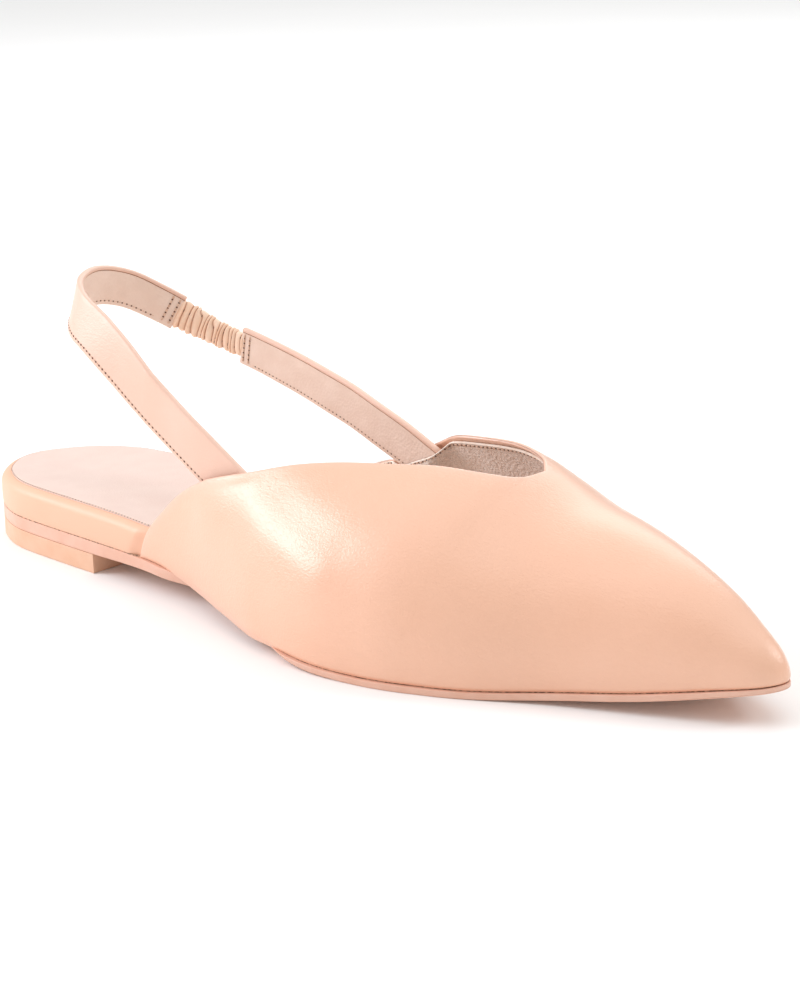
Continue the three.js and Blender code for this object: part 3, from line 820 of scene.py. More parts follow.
@dataclass(frozen=True)
class Upper:
    """Toe, vamp and side wings: a folded-edge nappa shell with a lining glued and stitched inside."""

    last: Last
    held: dict[Side, Array]
    leather: float = 1.1
    lining: float = 0.6
    lining_step: float = 0.85
    inner_step: float = 1.1
    cover_hold: float = 0.8
    cover_spread: float = 3.8
    cover_room: float = 0.3
    open_length: float = 95.0
    glue: float = 0.06
    tuck: float = 0.4
    foot_drop: float = 0.1
    waist_drop: float = 1.8
    fold_rise: float = 0.07
    fold_width: float = 5.5
    tuck_reach: float = 1.1
    waist_tuck: float = 0.5
    waist_tuck_reach: float = 2.5
    drop_reach: float = 3.0
    waist_drop_reach: float = 9.0
    # Painted highlight along the folded edges: a paler tint within this reach of the cut edge, at this
    # strength
    fold_highlight_reach: float = 2.5
    fold_highlight_mark: float = 0.8
    stitch_depth: float = 1.2
    seam: Seam = Seam(1.5, (1.0, 0.5, 0.45), (0.45, 0.6, 0.4))
    section_length: float = 58.0
    creases: tuple[Crease, ...] = (
        Crease(Side.OUTER, 0.55, 6.4, ((0.42, 0.28), (0.45, 0.355), (0.475, 0.42), (0.509, 0.4),
                                        (0.536, 0.364), (0.576, 0.334), (0.6, 0.305))),
        Crease(Side.OUTER, -0.3, 5.0, ((0.5, 0.48), (0.528, 0.45), (0.565, 0.42), (0.615, 0.4))),
    )

    def rows(self, first: float) -> Array:
        """Advances of the grid's rows: crowded at the rear edge and on both sides of the throat."""
        edge = np.array([0.0, 0.0006, 0.0015, 0.003, 0.0055, 0.009, 0.014])
        rear = edge[-1] + (1 - edge[-1]) * (1 - (1 - np.linspace(0, 1, 96)) ** 1.6)
        near = np.array([0.0008, 0.002, 0.004, 0.0075, 0.0125])
        ahead = near[-1] + (1 - near[-1]) * np.sin(np.linspace(0, 1, 62)[1:] * math.pi / 2)
        return np.concatenate([first + edge[:-1], first + (1 - first) * rear, 1 + near, 1 + ahead])

    def parts(self, side: Side, advance: Array, inset: float | Array) -> Array:
        """Parts of the grid's columns, crowded at the sole, and at the top by true distances."""
        length = (self.last.edge_sweep(side, advance) * self.section_length)[:, None]
        top = np.array([1.9, 1.3, 0.9, 0.55, 0.3, 0.15, 0.06, 0.0])
        open_side = np.where(advance < 1, inset, 0.0)[:, None]
        last_parts = 1 - (open_side + top) / length
        foot = np.array([0.0, 0.005, 0.012, 0.02, 0.032])
        spread = np.linspace(0, 1, 44)[1:-1]
        middle = foot[-1] + (last_parts[:, :1] - foot[-1]) * spread
        return np.concatenate([np.broadcast_to(foot, (len(advance), len(foot))), middle, last_parts], 1)

    def edge_line(self, side: Side) -> Array:
        """The side's cut edge in one line: up the rear and along the top to the throat."""
        top = self.last.upper_grid(side, 1 - (1 - np.linspace(0, 1, 260)) ** 1.6, np.ones(1))[:, 0]
        rear = self.last.upper_grid(side, np.zeros(1), np.linspace(0, 1, 90))[0]
        return np.concatenate([rear, top[1:]])

    def lift(self, points: Array) -> Array:
        """Height of the listed creases at each point."""
        return sum(crease.lift(self.last, points) for crease in self.creases)

    def edge_distance(self, points: Array) -> Array:
        """Distance to the nearest cut edge of either side."""
        return np.minimum(*[distance_to_line(points, self.edge_line(side)) for side in Side])

    def build_leather(self) -> None:
        """Closed shell: the outer face and the same face moved in, which meet in a half round fold."""
        advance = self.rows(0.0)
        bases = [self.last.upper_grid(side, advance, self.parts(side, advance, 0.0)) for side in Side]
        skin = Skin()
        radius = self.leather / 2
        for base, normal in zip(bases, face_normals(bases)):
            away = self.edge_distance(base)
            fold = radius - np.sqrt(np.maximum(radius**2 - np.maximum(radius - away, 0) ** 2, 0))
            rise = self.lift(base) * smooth_step(away, 0, 4)
            folded = 1 - smooth_step(away, self.fold_width - 1, self.fold_width + 1.5)
            rise = rise + self.fold_rise * folded
            up = base[..., 2] - base[:, :1, 2]
            waist = self.last.waist((self.last.length / 2 - base[..., 1]) / self.last.length)
            near = np.maximum(1 - up / (self.tuck_reach + self.waist_tuck_reach * waist), 0)
            tuck = (self.tuck + self.waist_tuck * waist) * near**2 * np.minimum(away / 2, 1)
            near = np.maximum(1 - up / (self.drop_reach + self.waist_drop_reach * waist), 0)
            drop = (self.foot_drop + self.waist_drop * waist) * near**2
            base = base - UP * drop[..., None]
            outer = base + normal * (rise - fold - tuck)[..., None]
            inner = base + normal * (rise * smooth_step(away, 0, 2) + fold - self.leather)[..., None]
            edge = away < 1e-6
            inner = np.where(edge[..., None], outer, inner)
            # Paler tint painted as a highlight along the fold
            mark = np.clip(1 - away / self.fold_highlight_reach, 0, 1) * self.fold_highlight_mark
            skin.grid(outer, mark=mark)
            skin.grid(inner, mark=mark)
            skin.grid(np.stack([outer[:, 0], inner[:, 0]], 1))
        register(skin.build("upper_leather", [NAPPA.make()]), ["upper"])

    def cover(self, side: Side, points: Array, normals: Array) -> Array:
        """Depth that the lining is held off the wall by the strap's end behind it.

        Each point of the strap's inner face asks for its own depth under the lining, times a share
        that falls from 1 to 0 over its distance to the side. The lining takes the greatest.

        Args:
            side: the side of the shoe.
            points: the lining's face toward the leather.
            normals: outward directions there.

        Returns:
            The depth at each point.
        """
        strap = self.held[side]
        flat, inward = points.reshape(-1, 3), -normals.reshape(-1, 3)
        depths = []
        for block in np.array_split(np.arange(len(flat)), max(1, len(flat) // BLOCK)):
            gap = strap - flat[block][:, None]
            deep = (gap * inward[block][:, None]).sum(-1)
            beside = np.linalg.norm(gap - deep[..., None] * inward[block][:, None], axis=-1)
            share = 1 - smooth_step(beside, self.cover_hold, self.cover_spread)
            depths.append(np.maximum((deep + self.cover_room) * share, 0).max(1))
        return np.concatenate(depths).reshape(points.shape[:-1])

    def step(self, side: Side, advance: Array) -> Array:
        """Distance from the fold to the lining's rim, wider along the inner side's top."""
        corner = CUTS[side].corner[0]
        share = corner + np.minimum(advance, 1) * (THROAT - corner)
        wide = smooth_step(share, 0.5, 0.56) * (1 - smooth_step(share, 0.68, THROAT))
        return self.lining_step + wide * (self.inner_step if side is Side.INNER else 0)

    def lining_face(self, side: Side, advance: Array, part: Array) -> Array:
        """The upper's face for the lining, with its throat set forward by the step."""
        return self.last.upper_grid(side, advance, part, self.lining_step)

    def build_lining(self) -> None:
        """Thin sheet against the leather's inside, which stops a step below the fold with a raw rim."""
        advance = self.rows(self.lining_step / self.open_length)
        bases = [self.lining_face(side, advance, self.parts(side, advance, self.step(side, advance)))
                 for side in Side]
        open_rows = int((advance < 1).sum()) + 1
        skin = Skin()
        for side, base, normal in zip(Side, bases, face_normals(bases)):
            rise = self.lift(base)[..., None]
            outer = base + normal * (rise - self.leather - self.glue)
            outer = outer - normal * self.cover(side, outer, normal)[..., None]
            inner = outer - normal * self.lining
            skin.grid(outer)
            skin.grid(inner)
            skin.grid(np.stack([outer[:, 0], inner[:, 0]], 1))
            skin.grid(np.stack([outer[:open_rows, -1], inner[:open_rows, -1]], 1), slot=1)
            skin.grid(np.stack([outer[0], inner[0]]), slot=1)
        # The collar lining's colour is painted light, near white, in the shaded throat
        register(skin.build("upper_lining", [COLLAR_LINING_PAINTED_LIGHT.make(), RAW_EDGE.make()]))

    def build_stitches(self) -> None:
        """Row of stitches on the lining below its rim, along the collar of each side."""
        seams = []
        advance = np.linspace(0.01, 0.97, 400)
        for side in Side:
            depth = self.step(side, advance) + self.stitch_depth
            top = 1 - depth / (self.last.edge_sweep(side, advance) * self.section_length)
            lanes = top[:, None] - np.array([0.02, 0.0, -0.004])
            base = self.lining_face(side, advance, lanes)
            normal = face_normals([base])[0]
            wall = base - normal * (self.leather + self.glue)
            path = (wall - normal * (self.cover(side, wall, normal)[..., None] + self.lining))[:, 1]
            seams.append(self.seam.rows(path, -normal[:, 1]))
        register_stitches("collar", seams)

    def build(self) -> None:
        """Builds the leather, its lining and the collar's stitches."""
        self.build_leather()
        self.build_lining()
        self.build_stitches()


@dataclass(frozen=True)
class Sole:
    """Board sole with a painted edge, the heel's top piece and the cement in the joints."""

    last: Last
    heel_length: float = 59.0
    edge_round: float = 0.16
    foot_round: float = 0.35
    lift_foot_round: float = 0.4
    lift_gap: float = 0.05
    trim_power: float = 1.32
    joint_depth: float = 0.92
    joint_edge: float = 0.2
    joint_width: float = 5.0
    joint_unevenness: float = 0.11
    waist_inset: float = 3.4
    outline_steps: int = 170
    heel_steps: int = 70
    breast_steps: int = 14

    def rounded(self, low: ShareLine, high: ShareLine, inset: Callable[[Array, float], Array],
                foot_round: float, top_round: float) -> list[Ring]:
        """Rings up an edge that is rounded at its foot and top.

        Args:
            low: height of the underside.
            high: height of the upper face.
            inset: distance in from the outline at a share of the length and of the height.
            foot_round: radius at the foot.
            top_round: radius at the top.

        Returns:
            Pairs of inset and height, each a function of the share of the length.
        """
        angles = np.radians([0, 22, 45, 67, 90])
        rows = [(0.0, foot_round * (1 - math.sin(a)), foot_round * (1 - math.cos(a))) for a in angles]
        rows += [(part, 0.0, 0.0) for part in (0.2, 0.4, 0.6, 0.8)]
        rows += [(1.0, top_round * (1 - math.cos(a)), top_round * (math.sin(a) - 1)) for a in angles]
        return [(lambda s, part=part, cut=cut: inset(s, part) + cut,
                 lambda s, part=part, up=up: low(s) + part * (high(s) - low(s)) + up)
                for part, cut, up in rows]

    def trim(self, share: Array, part: float) -> Array:
        """Distance of the edge in from the outline: cut back at the waist by a power of the height."""
        cut = self.last.waist_trim * TRIM_SHARE(share) * (1 - part) ** self.trim_power
        return cut + self.waist_inset * self.last.waist(share)

    def build_outsole(self) -> None:
        """The sole with its underside's edge cut back at the waist, as a curve over the height."""
        last = self.last
        rings = self.rounded(last.underside, last.sole_top, self.trim, self.foot_round, self.edge_round)
        loops = last.stack(last.outline(round_shares(1, self.outline_steps)), rings)
        skin = Skin()
        skin.grid(loops, ring_columns=True)
        for loop in (loops[0], loops[-1]):
            skin.grid(face_across(loop, self.outline_steps, 1))
        register(skin.build("board_sole", [PAINTED_EDGE.make()]), ["outsole"])

    def heel_outline(self) -> Array:
        """Closed outline of the heel, with a straight breast in even steps."""
        shares = round_shares(self.heel_length / self.last.length, self.heel_steps)
        outer, inner = (self.last.outline_side(side, shares) for side in Side)
        breast = rows_between(outer[-1:], inner[-1:], self.breast_steps)[0, 1:-1]
        return np.concatenate([outer, breast, inner[:0:-1]])

    def build_heel(self) -> None:
        """The heel's top piece, straight-sided up to the sole."""
        rings = self.rounded(
            lambda share: 0 * share, lambda share: self.last.underside(share) - self.lift_gap,
            lambda share, part: 0 * share, self.lift_foot_round, self.edge_round)
        loops = self.last.stack(self.heel_outline(), rings)
        skin = Skin()
        skin.grid(loops, ring_columns=True)
        for loop in (loops[0], loops[-1]):
            cap = face_across(loop, self.heel_steps, self.breast_steps)
            cap[-1, 1:-1] = loop[self.heel_steps + 1:self.heel_steps + self.breast_steps]
            skin.grid(cap)
        register(skin.build("heel_lift", [HEEL_LIFT.make()]), ["heel_block"])

    def joint(self, share: Array) -> Array:
        """Distance of the cement in from the outline: near the edge at the heel, in under the upper."""
        under = self.joint_depth * smooth_step(share, 0.285, 0.31)
        return self.joint_edge + under + self.waist_inset * self.last.waist(share)

    def build_joint(self) -> None:
        """Cement between sole and upper: a flat ring set back from the edge, slightly uneven."""
        last = self.last
        outline = last.outline(round_shares(1, 420))
        random = np.random.default_rng(SEED)
        waves = random.normal(size=(5, 2))
        turn = np.linspace(0, 2 * math.pi, len(outline), endpoint=False)
        uneven = sum(a * np.sin((23 + 17 * k) * turn + b) for k, (a, b) in enumerate(waves))
        uneven = uneven * self.joint_unevenness
        low, high = -0.05, last.clearance + 0.05
        corners = ((self.joint_width, low), (uneven, low), (uneven, high), (self.joint_width, high))
        skin = Skin()
        skin.grid(last.stack(outline, [
            (lambda share, cut=cut: self.joint(share) + cut, lambda share, up=up: last.sole_top(share) + up)
            for cut, up in corners]), ring_columns=True, ring_rows=True)
        register(skin.build("joint_cement", [CEMENT.make()]))

    def build(self) -> None:
        """Builds the sole, the heel and the cement."""
        self.build_outsole()
        self.build_heel()
        self.build_joint()


@dataclass(frozen=True)
class Footbed:
    """Insole board wrapped in nappa, with a sock laid on top and stitched round its edge."""

    last: Last
    edge_radius: float = 2.6
    bed_clearance: float = 0.6
    toe_room: float = 3.0
    sock_inset: float = 2.9
    sock_inset_inside: float = 0.9
    sock_thickness: float = 0.45
    cup: float = 0.5
    cup_full_width: float = 40.0
    wing_slope: float = 0.6
    wing_dip: float = 1.2
    dip_length: float = 5.0
    foot_drop: float = 0.06
    steps: int = 150
    columns: int = 12
    open_share: float = 0.36
    seam: Seam = Seam(1.25, (0.8, 0.26, 0.24), (0.3, 0.4, 0.3), 0.25)

    def room(self, share: Array, up: Array | float = 0.0) -> Array:
        """Distance in from the sole's outline: the band dips to the wing's slanting edge and on under it.

        Args:
            share: share of the length.
            up: height over the footbed's foot.

        Returns:
            The distance: nought at the open heel, the wing's middle at its edge, then clear of its
            lining, and more at the toe.
        """
        last = self.last
        wall = last.wall + last.sole_edge + self.bed_clearance
        edge = CUTS[Side.OUTER].rear_cut[0][0] * last.length + self.wing_slope * up
        along = share * last.length
        dip = self.wing_dip * smooth_step(along - edge, -self.dip_length, 0)
        under = (wall - self.wing_dip) * smooth_step(along - edge, 0, self.dip_length)
        return dip + under + self.toe_room * smooth_step(share, 0.8, 1)

    def shares(self) -> Array:
        """Shares for the outline, with more where the footbed goes in under the wings."""
        return np.sort(np.concatenate([round_shares(1, self.steps), np.linspace(0.271, 0.349, 40)]))

    def foot(self, share: Array) -> Array:
        """Height at which the footbed stands, clear of the sole."""
        return self.last.sole_top(share) + self.last.clearance

    def top(self, share: Array) -> Array:
        """Height of the wrapped board's upper face."""
        return self.foot(share) + self.last.bed_height(share)

    def radius(self, share: Array) -> Array:
        """Radius of the board's upper edge, less where the board is thin."""
        return np.minimum(self.edge_radius, self.last.bed_height(share) * 0.45)

    def level(self, share: Array, angle: float) -> Array:
        """Height over the foot at an angle up the quarter round of the upper edge."""
        return self.last.bed_height(share) - self.radius(share) * (1 - math.sin(angle))

    def cap(self, loop: Array, half: int, cup: float) -> Array:
        """Face between a ring's sides, hollowed as a parabola across."""
        cap = face_across(loop, half, self.columns)
        width = np.linalg.norm(cap[:, 0] - cap[:, -1], axis=-1)[:, None]
        bowl = 1 - np.linspace(-1, 1, self.columns + 1) ** 2
        cap[..., 2] -= cup * bowl * np.minimum(width / self.cup_full_width, 1)
        return cap

    def board(self, name: str, rings: Sequence[Ring], cups: tuple[float, float], finish: Finish,
              replaced: Sequence[str] = ()) -> None:
        """Makes a board from its rings.

        Args:
            name: the piece's name.
            rings: pairs of inset and height, from the foot up.
            cups: how deep the lower and the upper face are hollowed.
            finish: the surface.
            replaced: the nodes that the piece stands for.
        """
        shares = self.shares()
        loops = self.last.stack(self.last.outline(shares), rings)
        skin = Skin()
        skin.grid(loops, ring_columns=True)
        for loop, cup in zip((loops[0], loops[-1]), cups):
            skin.grid(self.cap(loop, len(shares) - 1, cup))
        register(skin.build(name, [finish.make()]), replaced)

    def build_wrap(self) -> None:
        """The wrapped board: a rounded foot, an upright band and a quarter round to the top."""
        band = self.last.bed_height
        # Height over the foot for the room, way in, rise over the foot, share of the band's height
        foot_rows = ((0.0, 0.22, 0.0, 0.0), (0.0, 0.06, 0.07, 0.0), (0.3, 0.0, 0.26, 0.0),
                     (2.0, -0.1, 0.0, 0.3), (3.8, -0.06, 0.0, 0.5))
        rings = [(lambda s, at=at, cut=cut: self.room(s, at) + cut,
                  lambda s, up=up, part=part: self.foot(s) - self.foot_drop + up + band(s) * part)
                 for at, cut, up, part in foot_rows]
        for angle in np.radians(np.arange(0, 91, 10)):
            rings.append((
                lambda s, a=angle: self.room(s, self.level(s, a)) + self.radius(s) * (1 - math.cos(a)),
                lambda s, a=angle: self.foot(s) + self.level(s, a)))
        self.board("footbed_wrap", rings, (0.0, self.cup * 0.9), WRAP_NAPPA, ["footbed"])

    def sock_edge(self, share: Array) -> Array:
        """Distance of the sock's edge in from the sole's outline."""
        inside = smooth_step(share, 0.3, 0.36)
        room = self.room(share, self.last.bed_height(share))
        return room + self.sock_inset * (1 - inside) + (self.edge_radius + self.sock_inset_inside) * inside

    def build_sock(self) -> None:
        """The sock: a thin sheet with a softly rounded edge, hollowed with the board."""
        high = self.sock_thickness
        rings = []
        for cut, up in ((0.0, -0.25), (0.0, high * 0.55), (0.1, high * 0.85), (0.32, high), (1.5, high)):
            rings.append((lambda s, cut=cut: self.sock_edge(s) + cut, lambda s, up=up: self.top(s) + up))
        self.board("sock_sheet", rings, (self.cup, self.cup), SOCK)

    def build_stitches(self) -> None:
        """Fine stitches and their needle holes on the sock's edge round the open heel."""
        outline = self.last.outline(round_shares(1, 400))
        path = self.last.ring(outline, lambda s: self.sock_edge(s) + 0.12,
                              lambda s: self.top(s) + self.sock_thickness * 0.75)
        open_part = outline[:, 0] / self.last.length < self.open_share
        order = np.concatenate([np.arange(len(path) // 2, len(path)), np.arange(len(path) // 2)])
        path = path[order][open_part[order]]
        register_stitches("sock", [self.seam.rows(path, np.broadcast_to(UP, path.shape))])

    def build(self) -> None:
        """Builds the wrapped board, the sock and its stitches."""
        self.build_wrap()
        self.build_sock()
        self.build_stitches()


class StrapLine:
    """Middle line of the straps: a centripetal Catmull-Rom curve measured by its length."""

    divisions = 600

    def __init__(self, points: Array, widths: Array, leans: Array) -> None:
        """Keeps the rows and measures the curve at even steps.

        Args:
            points: the curve's points.
            widths: the strap's width at each.
            leans: degrees of lean of its upper edge at each.
        """
        before, after = 2 * points[:1] - points[1:2], 2 * points[-1:] - points[-2:-1]
        self.points = np.concatenate([before, points, after])
        self.widths = widths
        self.leans = leans
        self.grid = np.linspace(0, 1, self.divisions + 1)
        line = self.point(self.grid)
        self.gone = np.concatenate([[0], np.cumsum(np.linalg.norm(np.diff(line, axis=0), axis=-1))])

    @property
    def length(self) -> float:
        """Length of the whole line."""
        return float(self.gone[-1])

    def point(self, t: Array) -> Array:
        """Points of the curve: a cubic between two points whose ends take the neighbours' slopes."""
        spans = len(self.points) - 3
        at = np.clip(t, 0, 1) * spans
        i = np.minimum(at.astype(int), spans - 1)
        x0, x1, x2, x3 = (self.points[i + k] for k in range(4))
        d0, d1, d2 = (np.sqrt(np.linalg.norm(b - a, axis=-1, keepdims=True))
                      for a, b in ((x0, x1), (x1, x2), (x2, x3)))
        m1 = ((x1 - x0) / d0 - (x2 - x0) / (d0 + d1) + (x2 - x1) / d1) * d1
        m2 = ((x2 - x1) / d1 - (x3 - x1) / (d1 + d2) + (x3 - x2) / d2) * d1
        w = (at - i)[:, None]
        return x1 + m1 * w + (-3 * x1 + 3 * x2 - 2 * m1 - m2) * w**2 + (2 * x1 - 2 * x2 + m1 + m2) * w**3

    def frames(self, part: Array) -> tuple[Array, Array, Array, Array, Array]:
        """Middle, run, rise, side and width at shares of the length; side points to the leg."""
        t = np.interp(part * self.length, self.gone, self.grid)
        middle = self.point(t)
        run = unit(self.point(np.minimum(t + 1e-4, 1)) - self.point(np.maximum(t - 1e-4, 0)))
        rows = np.arange(len(self.widths)) / (len(self.widths) - 1)
        lean = np.radians(np.interp(t, rows, self.leans))[:, None]
        rise = unit(UP - run * run[:, 2:])
        rise = rise * np.cos(lean) + np.cross(run, rise) * np.sin(lean)
        return middle, run, rise, unit(np.cross(run, rise)), np.interp(t, rows, self.widths)


@dataclass(frozen=True)
class BackStraps:
    """The two leather straps and the gathered elastic that joins them on the inner side."""

    last: Last
    rise: float = 72.6
    width: float = 12.0
    thickness: float = 2.0
    lean: float = 24.0
    elastic_start: float = 0.538
    elastic_end: float = 0.633
    elastic_width: float = 8.2
    elastic_thickness: float = 2.7
    elastic_lap: float = 2.5
    fold_height: float = 0.5
    turned_edge: float = 0.95
    stitch_in: float = 1.15
    edge_seam: Seam = Seam(1.5, (0.825, 0.34, 0.24), (0.62, 0.52, 0.24), hole_as_before=True)
    end_seam: Seam = Seam(1.35, (1.0, 0.55, 0.5), (0.4, 0.6, 0.36))
    end_gap: float = 4.8
    end_rows: tuple[float, float] = (1.3, 3.4)
    pleats: int = 14
    pleat_height: float = 0.6
    tube_rings: int = 330
    tube_sides: int = 44
    hole_columns: tuple[int, ...] = (2, 5, 17, 20, 24, 27, 39, 42)
    outer_gap: float = 0.5
    inner_gap: float = 5.0
    held_length: float = 30.0

    def seat(self, side: Side, row: Sequence[float]) -> Array:
        """Middle of a band on edge inside the upper, where its nearest corner clears the lining."""
        last = self.last
        share, sweep, away, width = row
        at = np.array([share] * 3)
        above, below, here = last.upper_point(side, at, np.array([sweep + 0.001, sweep - 0.001, sweep]))
        climb = unit(above - below)
        inward = np.array([side.value * climb[2], 0.0, -side.value * climb[0]])
        corner = (self.thickness * abs(inward[0]) + width * self.width * abs(inward[2])) / 2
        return here + inward * (last.wall + last.clearance + corner + away * last.sole_width)

    def line(self) -> StrapLine:
        """The middle line through both seats and the free loop between them."""
        last = self.last
        outer = np.array([self.seat(Side.OUTER, row) for row in OUTER_SEAT_ROWS])
        inner = np.array([self.seat(Side.INNER, row) for row in INNER_SEAT_ROWS])
        loops = []
        for rows, seat in ((OUTER_LOOP_ROWS, outer[1]), (INNER_LOOP_ROWS, inner[0])):
            table = np.array(rows)
            up = seat[2] + table[:, 2] * (self.rise - seat[2])
            loops.append(last.place(table[:, 0] * last.length, table[:, 1] * last.sole_width, up))
        seats = [[row[3] for row in rows] for rows in (OUTER_SEAT_ROWS, INNER_SEAT_ROWS)]
        free = [[row[3] for row in rows] for rows in (OUTER_LOOP_ROWS, INNER_LOOP_ROWS)]
        free_leans = [row[4] for row in (*OUTER_LOOP_ROWS, *INNER_LOOP_ROWS)]
        leans = [0] * len(outer) + free_leans + [0] * len(inner)
        widths = np.array([*seats[0], *free[0], *free[1], *seats[1]]) * self.width
        return StrapLine(np.concatenate([outer, *loops, inner]), widths, np.array(leans) * self.lean)

    def profile(self) -> tuple[Array, Array, Array, Array]:
        """Section of a strap: outer face with a soft crown, round fold, turned edge, step to the lining.

        Returns:
            Across, share of the half width, distance from there, and the finish of each face.
        """
        deep, fold = self.thickness / 2 - 0.05, self.fold_height
        face = np.linspace(-1, 1, 13)
        crown = -deep - 0.1 * (1 - face**2)
        angles = np.radians(np.linspace(180, 0, 11))[1:]
        rows = [(-deep + 0.22, -1, 0.0, 2), (-deep + 0.06, -1, 0.07, 2)]
        rows += [(x, y, 0.22 * (y < 0) - fold * (y + 1) / 2, 0) for x, y in zip(crown, face)]
        rows += [(deep * 0.94 * (math.cos(a) + 1) - deep, 1, fold * (math.sin(a) - 1), 0) for a in angles]
        inside = deep * 0.88
        rows += [
            # Faces with finish 3 are painted brown as the shade in the groove between the turned edge and
            # the lining
            (inside, 1, -self.turned_edge, 0), (inside - 0.08, 1, -self.turned_edge - 0.08, 3),
            (inside - 0.3, 1, -self.turned_edge - 0.1, 3), (inside - 0.3, 1, -self.turned_edge - 0.2, 3),
            (inside - 0.14, 1, -self.turned_edge - 0.3, 1), (inside - 0.1, 0.4, 0.0, 1),
            (inside - 0.08, 0.0, 0.0, 1), (inside - 0.1, -0.4, 0.0, 1), (inside - 0.16, -1, 0.4, 1),
            (inside - 0.3, -1, 0.12, 2), (inside - 0.5, -1, 0.0, 2), (0.25, -1, 0.0, 2), (-0.3, -1, 0.08, 2),
        ]
        table = np.array(rows, float)
        return table[:, 0], table[:, 1], table[:, 2], table[:, 3].astype(int)

    def build_strap(self, name: str, start: float, end: float, line: StrapLine,
                    finishes: Sequence[bpy.types.Material]) -> None:
        """Carries the section along a stretch of the line, with its ends drawn in and closed."""
        steps = int((end - start) * line.length)
        lip = 0.25 / line.length
        part = np.concatenate([[start], np.linspace(start + lip, end - lip, steps), [end]])
        middle, _, rise, side, width = line.frames(part)
        across, share, extra, slots = self.profile()
        squeeze = np.ones(len(part))
        squeeze[[0, -1]] = 0.82
        shift = across.mean()
        across = shift + (across - shift) * squeeze[:, None]
        up = share * width[:, None] / 2 + extra - 0.2 * share * (1 - squeeze[:, None]) / 0.18
        points = middle[:, None] + side[:, None] * across[..., None] + rise[:, None] * up[..., None]
        skin = Skin()
        index = skin.grid(points, slot=slots, ring_columns=True)
        skin.cap(index[0], 2)
        skin.cap(index[-1], 2)
        register(skin.build(name, finishes), [name])

    def edge_stitches(self, start: float, end: float, line: StrapLine) -> list[Stitches]:
        """Stitches and needle holes along the lower edge, on the outer face and on the lining."""
        middle, _, rise, side, width = line.frames(np.linspace(start, end, 500))
        low = middle + rise * (self.stitch_in - width[:, None] / 2)
        outside, inside = self.thickness / 2, self.thickness / 2 - 0.36
        return [self.edge_seam.rows(low - side * outside, -side),
                self.edge_seam.rows(low + side * inside, side)]

    def end_stitches(self, at: float, way: int, line: StrapLine) -> list[Stitches]:
        """Two rows of plump stitches, with needle holes between, across a strap's end at the elastic."""
        rows = []
        outside, inside = self.thickness / 2 + 0.05, self.thickness / 2 - 0.2
        for gap in self.end_rows:
            middle, _, rise, side, width = line.frames(np.full(12, at + way * gap / line.length))
            across = middle + rise * np.linspace(-0.42, 0.36, 12)[:, None] * width[:, None]
            rows.append(self.end_seam.rows(across - side * outside, -side))
            rows.append(self.end_seam.rows(across + side * inside, side))
        return rows

    def build_stitches(self, line: StrapLine) -> None:
        """Makes one piece of thread and one of needle holes for both straps."""
        outer, gap, inner = (part / line.length for part in (self.outer_gap, self.end_gap, self.inner_gap))
        register_stitches("strap", [
            *self.edge_stitches(outer, self.elastic_start - gap, line),
            *self.edge_stitches(self.elastic_end + gap, 1 - inner, line),
            *self.end_stitches(self.elastic_start, -1, line),
            *self.end_stitches(self.elastic_end, 1, line)])

    def build_elastic(self, line: StrapLine) -> None:
        """Gathered tube: a rounded flat section swollen by uneven pleats with narrow valleys.

        A pleat's height is the root of a sine over its own pitch, and its line wavers across the band.
        """
        lap = self.elastic_lap / line.length
        part = np.linspace(self.elastic_start - lap, self.elastic_end + lap, self.tube_rings)
        middle, _, rise, side, _ = line.frames(part)
        along = (part - self.elastic_start) / (self.elastic_end - self.elastic_start)
        random = np.random.default_rng(SEED + 1)
        turn = np.arange(self.tube_sides) * 2 * math.pi / self.tube_sides
        phase = along[:, None] * self.pleats
        for wave in range(1, 5):
            swing, start, slant = random.normal(size=3)
            phase = phase + 0.16 * swing * np.sin(wave * 2.3 * along[:, None] * math.pi + start
                                                  + (1 + slant) * np.cos(turn + start))
        phase = phase + 0.22 * np.sin(turn)
        sway = 1 + 0.25 * np.sin(phase * 2.1 + 1.3) + 0.2 * np.sin(phase * 0.7 + np.cos(turn) * 2)
        pleat = np.abs(np.sin(phase * math.pi)) ** 0.7
        held = smooth_step(along, -0.06, 0.03) * smooth_step(-along, -1.06, -0.97)
        high = (self.elastic_width / 2 - 0.5 - 0.8 * smooth_step(along, 0, 1))[:, None]
        deep = (0.55 + (self.elastic_thickness / 2 - 0.95) * held)[:, None]
        flat = np.sign(np.cos(turn)) * np.abs(np.cos(turn)) ** 0.55
        tall = np.sign(np.sin(turn)) * np.abs(np.sin(turn)) ** 0.75
        swell = held[:, None] * self.pleat_height * sway * pleat
        across = deep * flat + swell * np.cos(turn)
        up = (high * (0.9 + 0.1 * held[:, None])) * tall + swell * np.sin(turn)
        points = middle[:, None] + side[:, None] * across[..., None] + rise[:, None] * up[..., None]
        skin = Skin()
        # The mark paints dark brown shade into the valleys between the pleats
        index = skin.grid(points, mark=np.clip(1 - pleat * 1.6, 0, 1) * held[:, None], ring_columns=True)
        skin.cap(index[0])
        skin.cap(index[-1])
        register(skin.build("elastic_gathers", [GATHERED.make()]), ["elastic"])
        valley = (pleat[1:-1] < pleat[:-2]) & (pleat[1:-1] <= pleat[2:]) & (held[1:-1] > 0.9)[:, None]
        rows, columns = np.nonzero(valley)
        seen = np.isin(columns, self.hole_columns) & (random.random(len(rows)) < 0.3)
        rows, columns = rows[seen] + 1, columns[seen]
        off = side[rows] * np.cos(turn[columns])[:, None] + rise[rows] * np.sin(turn[columns])[:, None]
        size = 0.4 + 0.7 * random.random(len(rows))
        # Dark specks painted as the shade in needle holes along some of the valleys
        skin = Skin()
        skin.grid(beads(points[rows, columns], rise[rows], off, size, 0.4, 0.36))
        register(skin.build("elastic_needle_holes", [HOLE_SHADE_MATERIAL]))

